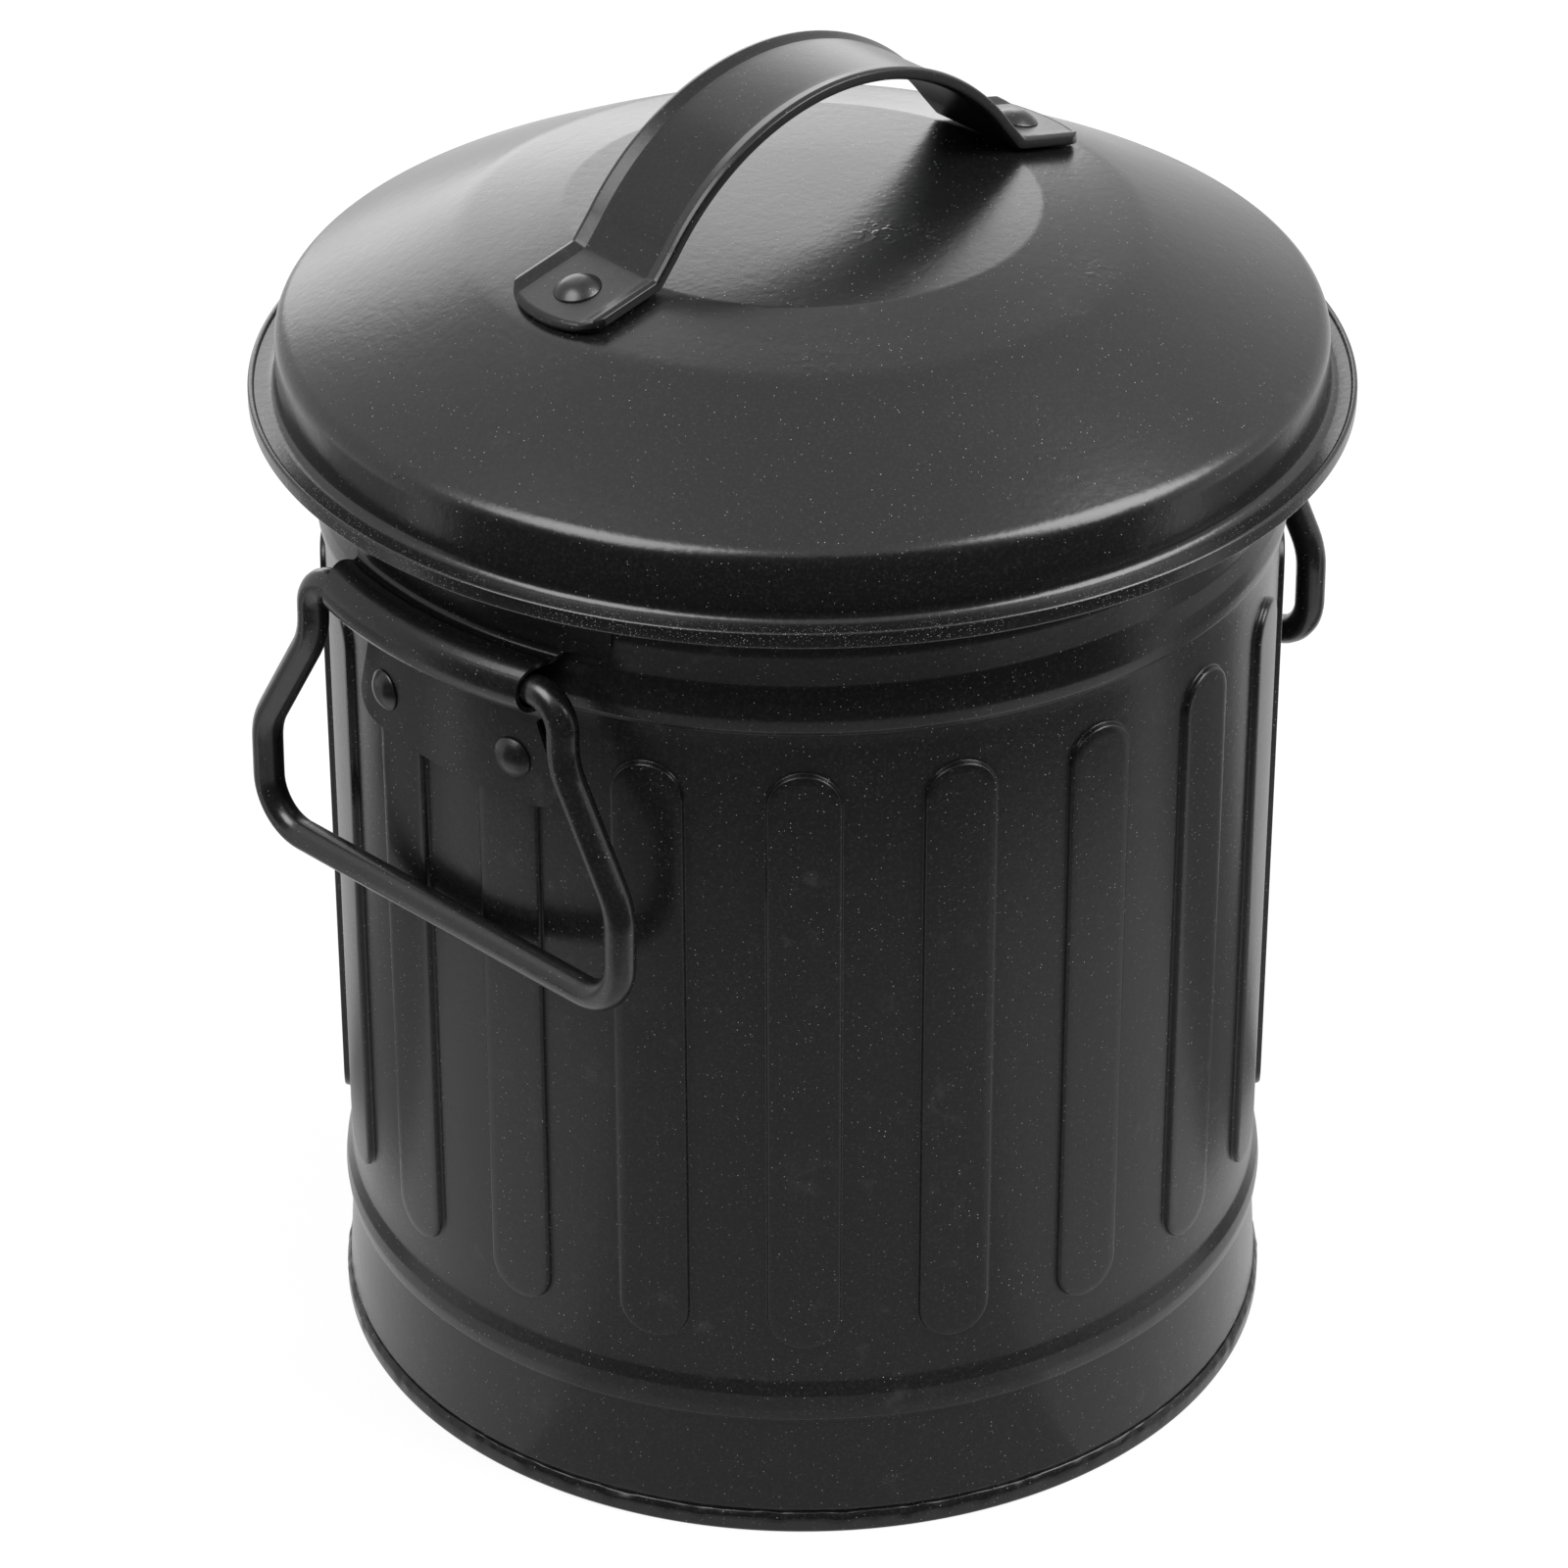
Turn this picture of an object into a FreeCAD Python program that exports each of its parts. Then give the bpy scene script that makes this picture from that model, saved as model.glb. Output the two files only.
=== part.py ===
import FreeCAD, Part
import math
import os
import Sketcher

# A small pressed-steel can with a lift-off lid, in millimetres.
# The origin is on the floor under the middle of the can, Z points up, and the
# two side handles lie on the X axis.

os.makedirs("parts", exist_ok=True)
doc = FreeCAD.newDocument("steel_can")

# ---------------------------------------------------------------- dimensions
DIMENSIONS = {
    # can body
    "sheet": 0.5,                # steel of the can and of the lid
    "wall_radius": 79.1,         # outside of the plain wall
    "body_height": 189.0,        # floor to the top of the curled rim
    "curl_diameter": 5.2,        # hollow curled rim
    "curl_wrap": 120.0,          # the curl ends this far past its outer side
    "neck_height": 24.4,         # top of the curl to the top of the upper bead
    "bead_rise": 1.0,            # how far a bead stands out of the wall
    "bead_lip": 0.7,             # height of the sharp lower edge of a bead
    "bead_flat": 0.3,            # share of a bead's height that is upright
    "high_bead_height": 10.9,
    "low_bead_height": 10.1,
    "low_bead_foot": 22.2,       # floor to the lower edge of the lower bead
    # ribs
    "rib_count": 20,
    "rib_width": 11.8,
    "rib_rise": 0.9,
    "rib_gap_below": 4.9,        # lower bead to the foot of a rib
    "rib_gap_above": 7.2,        # top of a rib to the upper bead
    # base
    "hem_height": 3.6,
    "pan_sheet": 0.6,
    "hem_fold": 1.6,             # folded layers outside the wall
    "hem_clearance": 0.3,
    "floor_rise": 3.0,           # underside of the can's floor above the ground
    # lid
    "lid_play": 1.5,             # curl to the inside of the lid's wall
    "seat_gap": 0.3,             # curl to the underside of the lid
    "shoulder_bend": 3.2,
    "shoulder_slope": 27.0,
    "lid_wall": 7.0,             # straight wall below the shoulder
    "flare_bend": 1.7,
    "flange_width": 1.95,
    "lip_width": 1.05,
    "lip_height": 2.8,
    "dome_rise": 14.1,           # shoulder to the ring
    "dome_bend": 700.0,
    "ring_radius": 55.2,
    "cove_rise": 3.85,           # ring to the edge of the flat top
    "cove_bend": 54.5,
    "top_radius": 38.6,
    "top_crown": 1.2,
    "lid_turn": -3.2,            # the loose lid is turned a little on the can
    # strap handle of the lid
    "strap_width": 20.8,
    "strap_sheet": 0.8,
    "strap_edge": 1.7,           # thickness where the edge is folded under
    "strap_fold": 3.4,           # width of that fold
    "strap_rise": 42.6,          # top of the curl to the top of the strap
    "foot_inside": 8.4,          # rivet to the bend of the strap
    "foot_outside": 8.4,         # rivet to the tip of the foot
    "foot_corner": 7.0,
    "foot_gap": 0.15,
    # brackets of the side handles
    "bracket_sheet": 0.8,
    "neck_gap": 0.3,             # bracket to the neck of the can
    "rib_gap": 0.15,             # bracket to the ribs
    "barrel_gap": 2.35,          # wall to a wire in the middle of the rolled loop
    "loop_slack": 1.15,          # that wire to the inside of the loop
    "loop_over_bead": 5.1,       # foot of the upper bead to the loop's middle
    "upper_bend": 1.2,
    "lower_bend": 3.2,
    "loop_reach": 22.4,          # half-width of the rolled loop
    "flange_reach": 31.6,        # half-width of the upper flange
    "flange_top": 5.8,           # top of the curl to the top of the flange
    "ledge_rise": 5.4,           # loop's middle to the flange's lower edge
    "ledge_notch": 3.7,
    "ledge_corner": 2.0,
    "plate_drop": 24.0,          # loop's middle to the plate's lower edge
    "plate_neck_drop": 8.4,
    "plate_neck_reach": 18.6,
    "plate_reach": 22.6,
    "plate_corner": 4.0,
    "loop_foot_drop": 6.2,
    # rivets
    "hole_play": 0.1,
    "tail_gap": 0.15,            # rivet tail to the sheet it holds
    "tail_height": 1.0,
    "head_skirt": 0.35,          # upright edge of a rivet's head
    "side_rivet_offset": 2.3035, # middle of a rib to the rivet on it
    "side_rivet_drop": 16.4,     # loop's middle to the rivet
    "side_rivet_head": 6.2,
    "side_rivet_dome": 1.7,
    "side_rivet_shank": 3.2,
    "side_rivet_tail": 5.0,
    "side_rivet_lift": 0.05,
    "lid_rivet_head": 6.8,
    "lid_rivet_dome": 2.2,
    "lid_rivet_shank": 3.6,
    "lid_rivet_tail": 6.0,
    # wire bails
    "wire_diameter": 4.9,
    "pivot_play": 0.3,           # wire to the inside of the loop
    "pivot_end": 15.0,           # middle of the can to the end of the wire
    "bail_top_reach": 29.2,
    "bail_low_reach": 41.8,
    "bail_neck_drop": 10.8,
    "bail_flare_drop": 31.8,
    "bail_drop": 50.2,
    "bail_top_bend": 5.0,
    "bail_side_bend": 12.0,
    "bail_low_bend": 8.4,
    "bail_rest_gap": 0.1,        # hanging bail to the circle round the ribs
}

sheet_object = doc.addObject("Spreadsheet::Sheet", "Dimensions")


def write_cell(alias, content):
    """Writes one size into the next free row of the sheet."""
    write_cell.row += 1
    sheet_object.set(f"A{write_cell.row}", alias)
    sheet_object.set(f"B{write_cell.row}", content)
    sheet_object.setAlias(f"B{write_cell.row}", alias)


write_cell.row = 0
for size_name, size_value in DIMENSIONS.items():
    write_cell(size_name, str(size_value))
doc.recompute()


class Size:
    """A size with its number and the expression that gives that number."""

    def __init__(self, number, text):
        self.number = number
        self.text = text

    @staticmethod
    def of(value):
        if isinstance(value, Size):
            return value
        return Size(float(value), f"({float(value)})")

    def join(self, other, sign, number):
        return Size(number, f"({self.text} {sign} {other.text})")

    def __add__(self, other):
        other = Size.of(other)
        return self.join(other, "+", self.number + other.number)

    def __sub__(self, other):
        other = Size.of(other)
        return self.join(other, "-", self.number - other.number)

    def __mul__(self, other):
        other = Size.of(other)
        return self.join(other, "*", self.number * other.number)

    def __truediv__(self, other):
        other = Size.of(other)
        return self.join(other, "/", self.number / other.number)

    def __radd__(self, other):
        return Size.of(other) + self

    def __rsub__(self, other):
        return Size.of(other) - self

    def __rmul__(self, other):
        return Size.of(other) * self

    def __neg__(self):
        return Size.of(0) - self


def named(alias):
    return Size(float(sheet_object.get(alias)), f"Dimensions.{alias}")


def derived(alias, size):
    """Keeps a calculated size in the sheet under a name of its own."""
    write_cell(alias, "=" + size.text.replace("Dimensions.", ""))
    return Size(size.number, f"Dimensions.{alias}")


def root(size):
    return Size(math.sqrt(size.number), f"sqrt({size.text})")


def sine(angle):
    angle = Size.of(angle)
    return Size(math.sin(math.radians(angle.number)), f"sin({angle.text})")


def cosine(angle):
    angle = Size.of(angle)
    return Size(math.cos(math.radians(angle.number)), f"cos({angle.text})")


def arcsine(ratio):
    """The angle, in degrees, that has this sine."""
    return Size(math.degrees(math.asin(ratio.number)), f"(asin({ratio.text}) / 1 deg)")


def length_of(across, up):
    return root(across * across + up * up)


# ------------------------------------------------------------------ builders
def origin_feature(body, role):
    return next(f for f in body.Origin.OriginFeatures if f.Role == role)


def new_sketch(body, name, role, lift=None):
    """A sketch on one of the body's own planes, lifted off it if asked."""
    sketch = body.newObject("Sketcher::SketchObject", name)
    sketch.AttachmentSupport = [(origin_feature(body, role), "")]
    sketch.MapMode = "FlatFace"
    if lift is not None:
        sketch.AttachmentOffset = FreeCAD.Placement(
            FreeCAD.Vector(0, 0, lift.number), FreeCAD.Rotation())
        sketch.setExpression("AttachmentOffset.Base.z", lift.text)
    return sketch


def flat_point(point):
    return FreeCAD.Vector(point[0].number, point[1].number, 0)


def arc_between(start, end, radius, side):
    """The short arc between two points; side +1 has its centre on the left."""
    chord = end - start
    left = FreeCAD.Vector(-chord.y, chord.x, 0).normalize()
    height = math.sqrt(max(radius ** 2 - (chord.Length / 2) ** 2, 0.0))
    centre = (start + end) * 0.5 + left * (side * height)
    to_start, to_end = start - centre, end - centre
    first = math.atan2(to_start.y, to_start.x)
    last = math.atan2(to_end.y, to_end.x)
    circle = Part.Circle(centre, FreeCAD.Vector(0, 0, 1), radius)
    if side > 0:
        return Part.ArcOfCircle(circle, first, last)
    return Part.ArcOfCircle(circle, last, first)


def bind(sketch, kind, *where, size):
    """Adds one constraint and ties its value to the sheet."""
    index = sketch.addConstraint(Sketcher.Constraint(kind, *where, size.number))
    sketch.setExpression(f"Constraints[{index}]", size.text)


ON_AN_AXIS = 1e-9


def fix_point(sketch, number, end, point):
    """Fixes one end of a line or arc at its place."""
    for kind, place, axis in (("DistanceX", point[0], -2), ("DistanceY", point[1], -1)):
        if abs(place.number) < ON_AN_AXIS:
            sketch.addConstraint(Sketcher.Constraint("PointOnObject", number, end, axis))
        else:
            bind(sketch, kind, number, end, size=place)


def draw(sketch, corners, closed=True):
    """Draws an outline or a path. A corner is (x, y) or (x, y, radius, side),
    where radius and side describe the arc that leads on to the next corner."""
    points = [(Size.of(corner[0]), Size.of(corner[1])) for corner in corners]
    count = len(corners) if closed else len(corners) - 1
    ends = []
    for index in range(count):
        start = flat_point(points[index])
        end = flat_point(points[(index + 1) % len(points)])
        if len(corners[index]) == 2:
            line = Part.LineSegment(start, end)
            ends.append((sketch.addGeometry(line, False), 1, 2))
            continue
        radius, side = Size.of(corners[index][2]), corners[index][3]
        arc = arc_between(start, end, radius.number, side)
        number = sketch.addGeometry(arc, False)
        ends.append((number, 1, 2) if side > 0 else (number, 2, 1))
    for index in range(count if closed else count - 1):
        number, last = ends[index][0], ends[index][2]
        after = ends[(index + 1) % count]
        sketch.addConstraint(Sketcher.Constraint(
            "Coincident", number, last, after[0], after[1]))
    for index, (number, first, last) in enumerate(ends):
        fix_point(sketch, number, first, points[index])
        if len(corners[index]) == 4:
            bind(sketch, "Radius", number, size=Size.of(corners[index][2]))
    if not closed:
        fix_point(sketch, ends[-1][0], ends[-1][2], points[-1])
    return count


def new_body(label, place=None):
    body = doc.addObject("PartDesign::Body", label)
    body.Label = label
    if place is not None:
        body.Placement = place
    return body


def turned(body, name, corners, angle=None):
    """Turns an outline, given as radius and height, about the body's Z axis."""
    sketch = new_sketch(body, f"{name}_outline", "XZ_Plane")
    draw(sketch, corners)
    turn = body.newObject("PartDesign::Revolution", name)
    turn.Profile = sketch
    turn.ReferenceAxis = (sketch, ["V_Axis"])
    turn.Angle = 360.0
    if angle is not None:
        turn.Midplane = True
        turn.setExpression("Angle", angle.text)
    doc.recompute()
    return turn


def finish_cut(body, feature):
    """Every cut has to remove something."""
    before = body.Tip.Shape.Volume if body.Tip is not feature else feature.BaseFeature.Shape.Volume
    doc.recompute()
    assert feature.Shape.Volume < before - 1e-3, f"{feature.Name} removes nothing"
    body.Tip = feature
    return feature


def pocket_through(body, name, role, outlines, lift=None):
    """Cuts outlines, drawn on one of the planes, away on the plane's far side."""
    sketch = new_sketch(body, f"{name}_sketch", role, lift)
    for outline in outlines:
        draw(sketch, outline)
    pocket = body.newObject("PartDesign::Pocket", name)
    pocket.Profile = sketch
    pocket.Type = "ThroughAll"
    pocket.Reversed = True
    return finish_cut(body, pocket)


def drill(body, name, role, point, direction, radius, depths, lift=None):
    """Drills a round hole whose axis lies in a plane of the body. The axis runs
    through point along direction, from the first depth to the second."""
    sketch = new_sketch(body, f"{name}_sketch", role, lift)
    low, high = depths
    across = (direction[1], -direction[0])

    def at(depth, out):
        return (point[0] + direction[0] * depth + across[0] * out,
                point[1] + direction[1] * depth + across[1] * out)

    draw(sketch, [at(low, 0), at(low, radius), at(high, radius), at(high, 0)])
    axis = Part.LineSegment(flat_point(at(low, 0)), flat_point(at(high, 0)))
    number = sketch.addGeometry(axis, True)
    sketch.addConstraint(Sketcher.Constraint("Coincident", number, 1, 0, 1))
    sketch.addConstraint(Sketcher.Constraint("Coincident", number, 2, 3, 1))
    hole = body.newObject("PartDesign::Groove", name)
    hole.Profile = sketch
    hole.ReferenceAxis = (sketch, ["Axis0"])
    hole.Angle = 360.0
    return finish_cut(body, hole)


def repeat_round(body, name, feature, count):
    """Repeats a feature evenly round the body's Z axis."""
    pattern = body.newObject("PartDesign::PolarPattern", name)
    pattern.Originals = [feature]
    pattern.Axis = (origin_feature(body, "Z_Axis"), [""])
    pattern.Angle = 360.0
    pattern.setExpression("Occurrences", count.text)
    doc.recompute()
    body.Tip = pattern
    return pattern


def around_z(degrees):
    return FreeCAD.Rotation(FreeCAD.Vector(0, 0, 1), degrees)


def around_y(degrees):
    return FreeCAD.Rotation(FreeCAD.Vector(0, 1, 0), degrees)


# ------------------------------------------------------------- shared places
sheet = named("sheet")
wall = named("wall_radius")
inside = derived("inside_radius", wall - sheet)
curl_radius = derived("curl_radius", named("curl_diameter") / 2)
curl_ring = derived("curl_ring", inside + curl_radius)
curl_level = derived("curl_level", named("body_height") - curl_radius)
high_bead_top = named("body_height") - named("neck_height")
high_bead_foot = derived("high_bead_foot", high_bead_top - named("high_bead_height"))
low_bead_foot = named("low_bead_foot")
rib_foot = derived("rib_foot", low_bead_foot + named("low_bead_height")
                   + named("rib_gap_below"))
rib_top = derived("rib_top", high_bead_foot - named("rib_gap_above"))
rib_radius = derived("rib_radius", wall + named("rib_rise"))
half_pitch = Size.of(180) / named("rib_count")

loop_level = derived("loop_level", high_bead_foot + named("loop_over_bead"))
wire_radius = derived("wire_radius", named("wire_diameter") / 2)
loop_ring = derived("loop_ring", wall + named("barrel_gap") + wire_radius)
loop_radius = derived("loop_radius", wire_radius + named("loop_slack")
                      + named("bracket_sheet"))
plate_face = derived("plate_face", rib_radius + named("rib_gap")
                     + named("bracket_sheet"))
side_rivet_level = derived("side_rivet_level", loop_level - named("side_rivet_drop"))
side_hole_radius = named("side_rivet_shank") / 2 + named("hole_play")
side_rivet_angle = derived("side_rivet_angle", half_pitch + arcsine(
    named("side_rivet_offset") / rib_radius))
SIDES = (("left", 180), ("right", 0))
DRILL_REACH = 9.0                # a drill starts and ends this far from the sheet
CUT_PAST = 1.0                   # other cuts run this far past what they cut
RIB_BAR_PAST = 4.0               # the bars that make the ribs, past the wall
SWEEP_PAST = 3.0                 # a bracket's blank, past its flange


def drill_side_hole(body, name, angle):
    """A rivet hole through the side of the can or of a bracket."""
    direction = (cosine(angle), sine(angle))
    centre = (direction[0] * plate_face, direction[1] * plate_face)
    drill(body, name, "XY_Plane", centre, direction, side_hole_radius,
          (-DRILL_REACH, DRILL_REACH), side_rivet_level)


# ---------------------------------------------------------------- body shell
def bead_outline(foot, height, offset):
    """Corners of one bead, going up, on the wall moved inwards by offset."""
    rise = named("bead_rise")
    full = wall + rise - offset
    slope_height = height * (1 - named("bead_flat")) / 2
    bend = (rise * rise / 4 + slope_height * slope_height) / rise
    return [
        (wall - offset, foot),
        (full, foot + named("bead_lip")),
        (full, foot + height * named("bead_flat"), bend, 1),
        (full - rise / 2, foot + height - slope_height, bend, -1),
        (wall - offset, foot + height),
    ]


def backwards(corners):
    """The same corners in the other order; arcs move to their other end."""
    turned_round = []
    for index in range(len(corners) - 1, -1, -1):
        arc = corners[index - 1][2:] if index else ()
        if arc:
            arc = (arc[0], -arc[1])
        turned_round.append(corners[index][:2] + arc)
    return turned_round


def curl_point(radius, angle):
    return curl_ring + radius * cosine(angle), curl_level + radius * sine(angle)


def build_body_shell():
    """A rolled wall with two beads, pressed ribs and a hollow curled rim."""
    body = new_body("body_shell", FreeCAD.Placement(
        FreeCAD.Vector(0, 0, 0), around_z(half_pitch.number)))
    wall_foot = named("pan_sheet") + named("hem_clearance")
    bore = curl_radius - sheet
    end = -named("curl_wrap")
    none = Size.of(0)
    corners = [(inside, wall_foot), (wall, wall_foot)]
    corners += bead_outline(low_bead_foot, named("low_bead_height"), none)
    corners += bead_outline(high_bead_foot, named("high_bead_height"), none)
    corners += [(wall, curl_level, bore, -1), (curl_ring, curl_level + bore, bore, -1),
                (curl_ring + bore, curl_level, bore, -1),
                (curl_ring, curl_level - bore, bore, -1), curl_point(bore, end)]
    corners += [(*curl_point(curl_radius, end), curl_radius, 1),
                (curl_ring, curl_level - curl_radius, curl_radius, 1),
                (curl_ring + curl_radius, curl_level, curl_radius, 1),
                (curl_ring, curl_level + curl_radius, curl_radius, 1),
                (inside, curl_level)]
    corners += backwards(bead_outline(high_bead_foot, named("high_bead_height"), sheet))
    corners += backwards(bead_outline(low_bead_foot, named("low_bead_height"), sheet))
    turned(body, "rolled_wall", corners)
    press_ribs(body)
    for side, turn in SIDES:
        for sign in (-1, 1):
            angle = turn - half_pitch + sign * side_rivet_angle
            drill_side_hole(body, f"{side}_hole_{'ab'[sign > 0]}", angle)
    return body


def slot_corners(width, low, high):
    """An upright bar with round ends."""
    half = width / 2
    return [(half, low + half), (half, high - half, half, 1), (0, high, half, 1),
            (-half, high - half), (-half, low + half, half, 1), (0, low, half, 1)]


def press_ribs(body):
    """Adds the ribs, trims them to the can's round and hollows their backs."""
    sketch = new_sketch(body, "rib_outline", "YZ_Plane", inside - RIB_BAR_PAST)
    draw(sketch, slot_corners(named("rib_width"), rib_foot, rib_top))
    bar = body.newObject("PartDesign::Pad", "rib_bar")
    bar.Profile = sketch
    bar.setExpression("Length", (rib_radius - inside + 2 * RIB_BAR_PAST).text)
    doc.recompute()
    repeat_round(body, "rib_bars", bar, named("rib_count"))
    low, high = rib_foot - CUT_PAST, rib_top + CUT_PAST
    past = 3 * Size.of(RIB_BAR_PAST)
    for name, inner, outer in (("trim_inside", inside - past, inside),
                               ("trim_outside", rib_radius, rib_radius + past)):
        sketch = new_sketch(body, f"{name}_outline", "XZ_Plane")
        draw(sketch, [(inner, low), (outer, low), (outer, high), (inner, high)])
        trim = body.newObject("PartDesign::Groove", name)
        trim.Profile = sketch
        trim.ReferenceAxis = (sketch, ["V_Axis"])
        trim.Angle = 360.0
        finish_cut(body, trim)
    sketch = new_sketch(body, "rib_back_outline", "YZ_Plane", rib_radius - sheet)
    draw(sketch, slot_corners(named("rib_width") - 2 * sheet, rib_foot + sheet,
                              rib_top - sheet))
    hollow = body.newObject("PartDesign::Pocket", "rib_back")
    hollow.Profile = sketch
    hollow.setExpression("Length", (2 * Size.of(RIB_BAR_PAST)).text)
    finish_cut(body, hollow)
    repeat_round(body, "rib_backs", hollow, named("rib_count"))


body_shell = build_body_shell()


# ------------------------------------------------------------------ base pan
def build_base_pan():
    """A disc whose rim is folded down, under the wall's foot and up outside."""
    body = new_body("base_pan")
    thick, gap = named("pan_sheet"), named("hem_clearance")
    hem_inner = wall + gap
    hem_outer = hem_inner + named("hem_fold")
    pan_outer = inside - gap
    pan_inner = pan_outer - thick
    low, high = named("floor_rise"), named("hem_height")
    turned(body, "pressed_disc", [
        (0, low), (pan_inner, low), (pan_inner, 0), (hem_outer, 0),
        (hem_outer, high), (hem_inner, high), (hem_inner, thick),
        (pan_outer, thick), (pan_outer, low + thick), (0, low + thick),
    ])
    return body


base_pan = build_base_pan()

# ----------------------------------------------------------------------- lid
slope = named("shoulder_slope")
bend = named("shoulder_bend")
lid_outside = derived("lid_outside", curl_ring + curl_radius + named("lid_play") + sheet)
bend_ring = derived("bend_ring", lid_outside - bend)
bend_level = derived("bend_level", curl_level + (
    curl_radius + named("seat_gap") + sheet - bend
    - (bend_ring - curl_ring) * sine(slope)) / cosine(slope))
dome_foot = derived("dome_foot", bend_level + bend * cosine(slope))
ring_level = derived("ring_level", dome_foot + named("dome_rise"))
top_level = derived("top_level", ring_level + named("cove_rise"))
crown_level = derived("crown_level", top_level + named("top_crown"))
flange_level = derived("flange_level", bend_level - named("lid_wall") - named("flare_bend"))
top_radius = named("top_radius")
ring_radius = named("ring_radius")
lid_place = FreeCAD.Placement(FreeCAD.Vector(0, 0, 0), around_z(named("lid_turn").number))

# The foot of the strap lies on the chord of the cove, so it slopes with it.
cove_run = ring_radius - top_radius
cove_chord = derived("cove_chord", length_of(cove_run, named("cove_rise")))
along = (derived("foot_along", cove_run / cove_chord),
         derived("foot_down", -named("cove_rise") / cove_chord))
normal = (-along[1], along[0])
cove_sag = named("cove_bend") - root(named("cove_bend") * named("cove_bend")
                                     - cove_chord * cove_chord / 4)
foot_lift = derived("foot_lift", named("strap_edge") + named("foot_gap"))
rivet_x = derived("rivet_x", (top_radius + ring_radius) / 2 + normal[0] * foot_lift)
rivet_z = derived("rivet_z", (top_level + ring_level) / 2 + normal[1] * foot_lift)
lid_hole_radius = named("lid_rivet_shank") / 2 + named("hole_play")


def drill_lid_holes(body):
    """The two rivet holes of the strap, square to its feet."""
    for name, sign in (("hole_a", 1), ("hole_b", -1)):
        drill(body, f"{body.Label}_{name}", "XZ_Plane", (rivet_x * sign, rivet_z),
              (normal[0] * sign, normal[1]), lid_hole_radius,
              (-DRILL_REACH, DRILL_REACH))


def build_lid_shell():
    """The pressed lid: crowned top, cove, dome, wall, flange and turned lip."""
    body = new_body("lid_shell", lid_place)
    flare = named("flare_bend")
    flange_end = lid_outside + flare + named("flange_width")
    lip = named("lip_width") / 2
    lip_outer = flange_end + named("lip_width")
    lip_foot = flange_level - named("lip_height") + named("lip_width")
    inner_bend = bend - sheet
    crown = named("top_crown")
    crown_bend = derived("crown_bend", (top_radius * top_radius + crown * crown)
                         / (2 * crown))
    turned(body, "pressed_lid", [
        (0, crown_level, crown_bend, -1),
        (top_radius, top_level, named("cove_bend"), 1),
        (ring_radius, ring_level, named("dome_bend"), -1),
        (bend_ring + bend * sine(slope), dome_foot, bend, -1),
        (lid_outside, bend_level),
        (lid_outside, flange_level + flare, flare, 1),
        (lid_outside + flare, flange_level),
        (flange_end, flange_level, lip, -1),
        (lip_outer, flange_level),
        (lip_outer, lip_foot, lip, -1),
        (flange_end, lip_foot),
        (flange_end, flange_level - sheet),
        (lid_outside + flare, flange_level - sheet, flare + sheet, -1),
        (lid_outside - sheet, flange_level + flare),
        (lid_outside - sheet, bend_level, inner_bend, 1),
        (bend_ring + inner_bend * sine(slope), bend_level + inner_bend * cosine(slope),
         named("dome_bend") - sheet, 1),
        (ring_radius, ring_level - sheet, named("cove_bend"), -1),
        (top_radius, top_level - sheet, crown_bend, 1),
        (0, crown_level - sheet),
    ])
    drill_lid_holes(body)
    return body


lid_shell = build_lid_shell()

# -------------------------------------------------------------- strap handle
arch_foot = (derived("arch_foot_x", rivet_x - along[0] * named("foot_inside")),
             derived("arch_foot_z", rivet_z - along[1] * named("foot_inside")))
arch_top = derived("arch_top", named("body_height") + named("strap_rise"))
arch_rise = arch_top - arch_foot[1]
arch_bend = derived("arch_bend", (arch_foot[0] * arch_foot[0] + arch_rise * arch_rise)
                    / (2 * arch_rise))
arch_centre = derived("arch_centre", arch_top - arch_bend)


def strap_corner(name, depth):
    """Where the foot and the arch meet, at a depth below the strap's face."""
    start_x = rivet_x - normal[0] * depth
    start_z = rivet_z - normal[1] * depth - arch_centre
    radius = arch_bend - depth
    middle = start_x * along[0] + start_z * along[1]
    rest = start_x * start_x + start_z * start_z - radius * radius
    step = root(middle * middle - rest) - middle
    return (derived(f"{name}_x", start_x + along[0] * step),
            derived(f"{name}_z", start_z + arch_centre + along[1] * step))


def strap_outline(name, upper, lower):
    """The layer of the strap between two depths, seen from its long edge."""
    overrun = named("foot_outside") + named("foot_corner")
    top = strap_corner(f"{name}_upper", upper)
    low = strap_corner(f"{name}_lower", lower)
    tips = [(rivet_x - normal[0] * depth + along[0] * overrun,
             rivet_z - normal[1] * depth + along[1] * overrun) for depth in (upper, lower)]
    return [
        (-tips[0][0], tips[0][1]), (-top[0], top[1], arch_bend - upper, -1),
        top, tips[0], tips[1], (*low, arch_bend - lower, 1),
        (-low[0], low[1]), (-tips[1][0], tips[1][1]),
    ]


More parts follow.
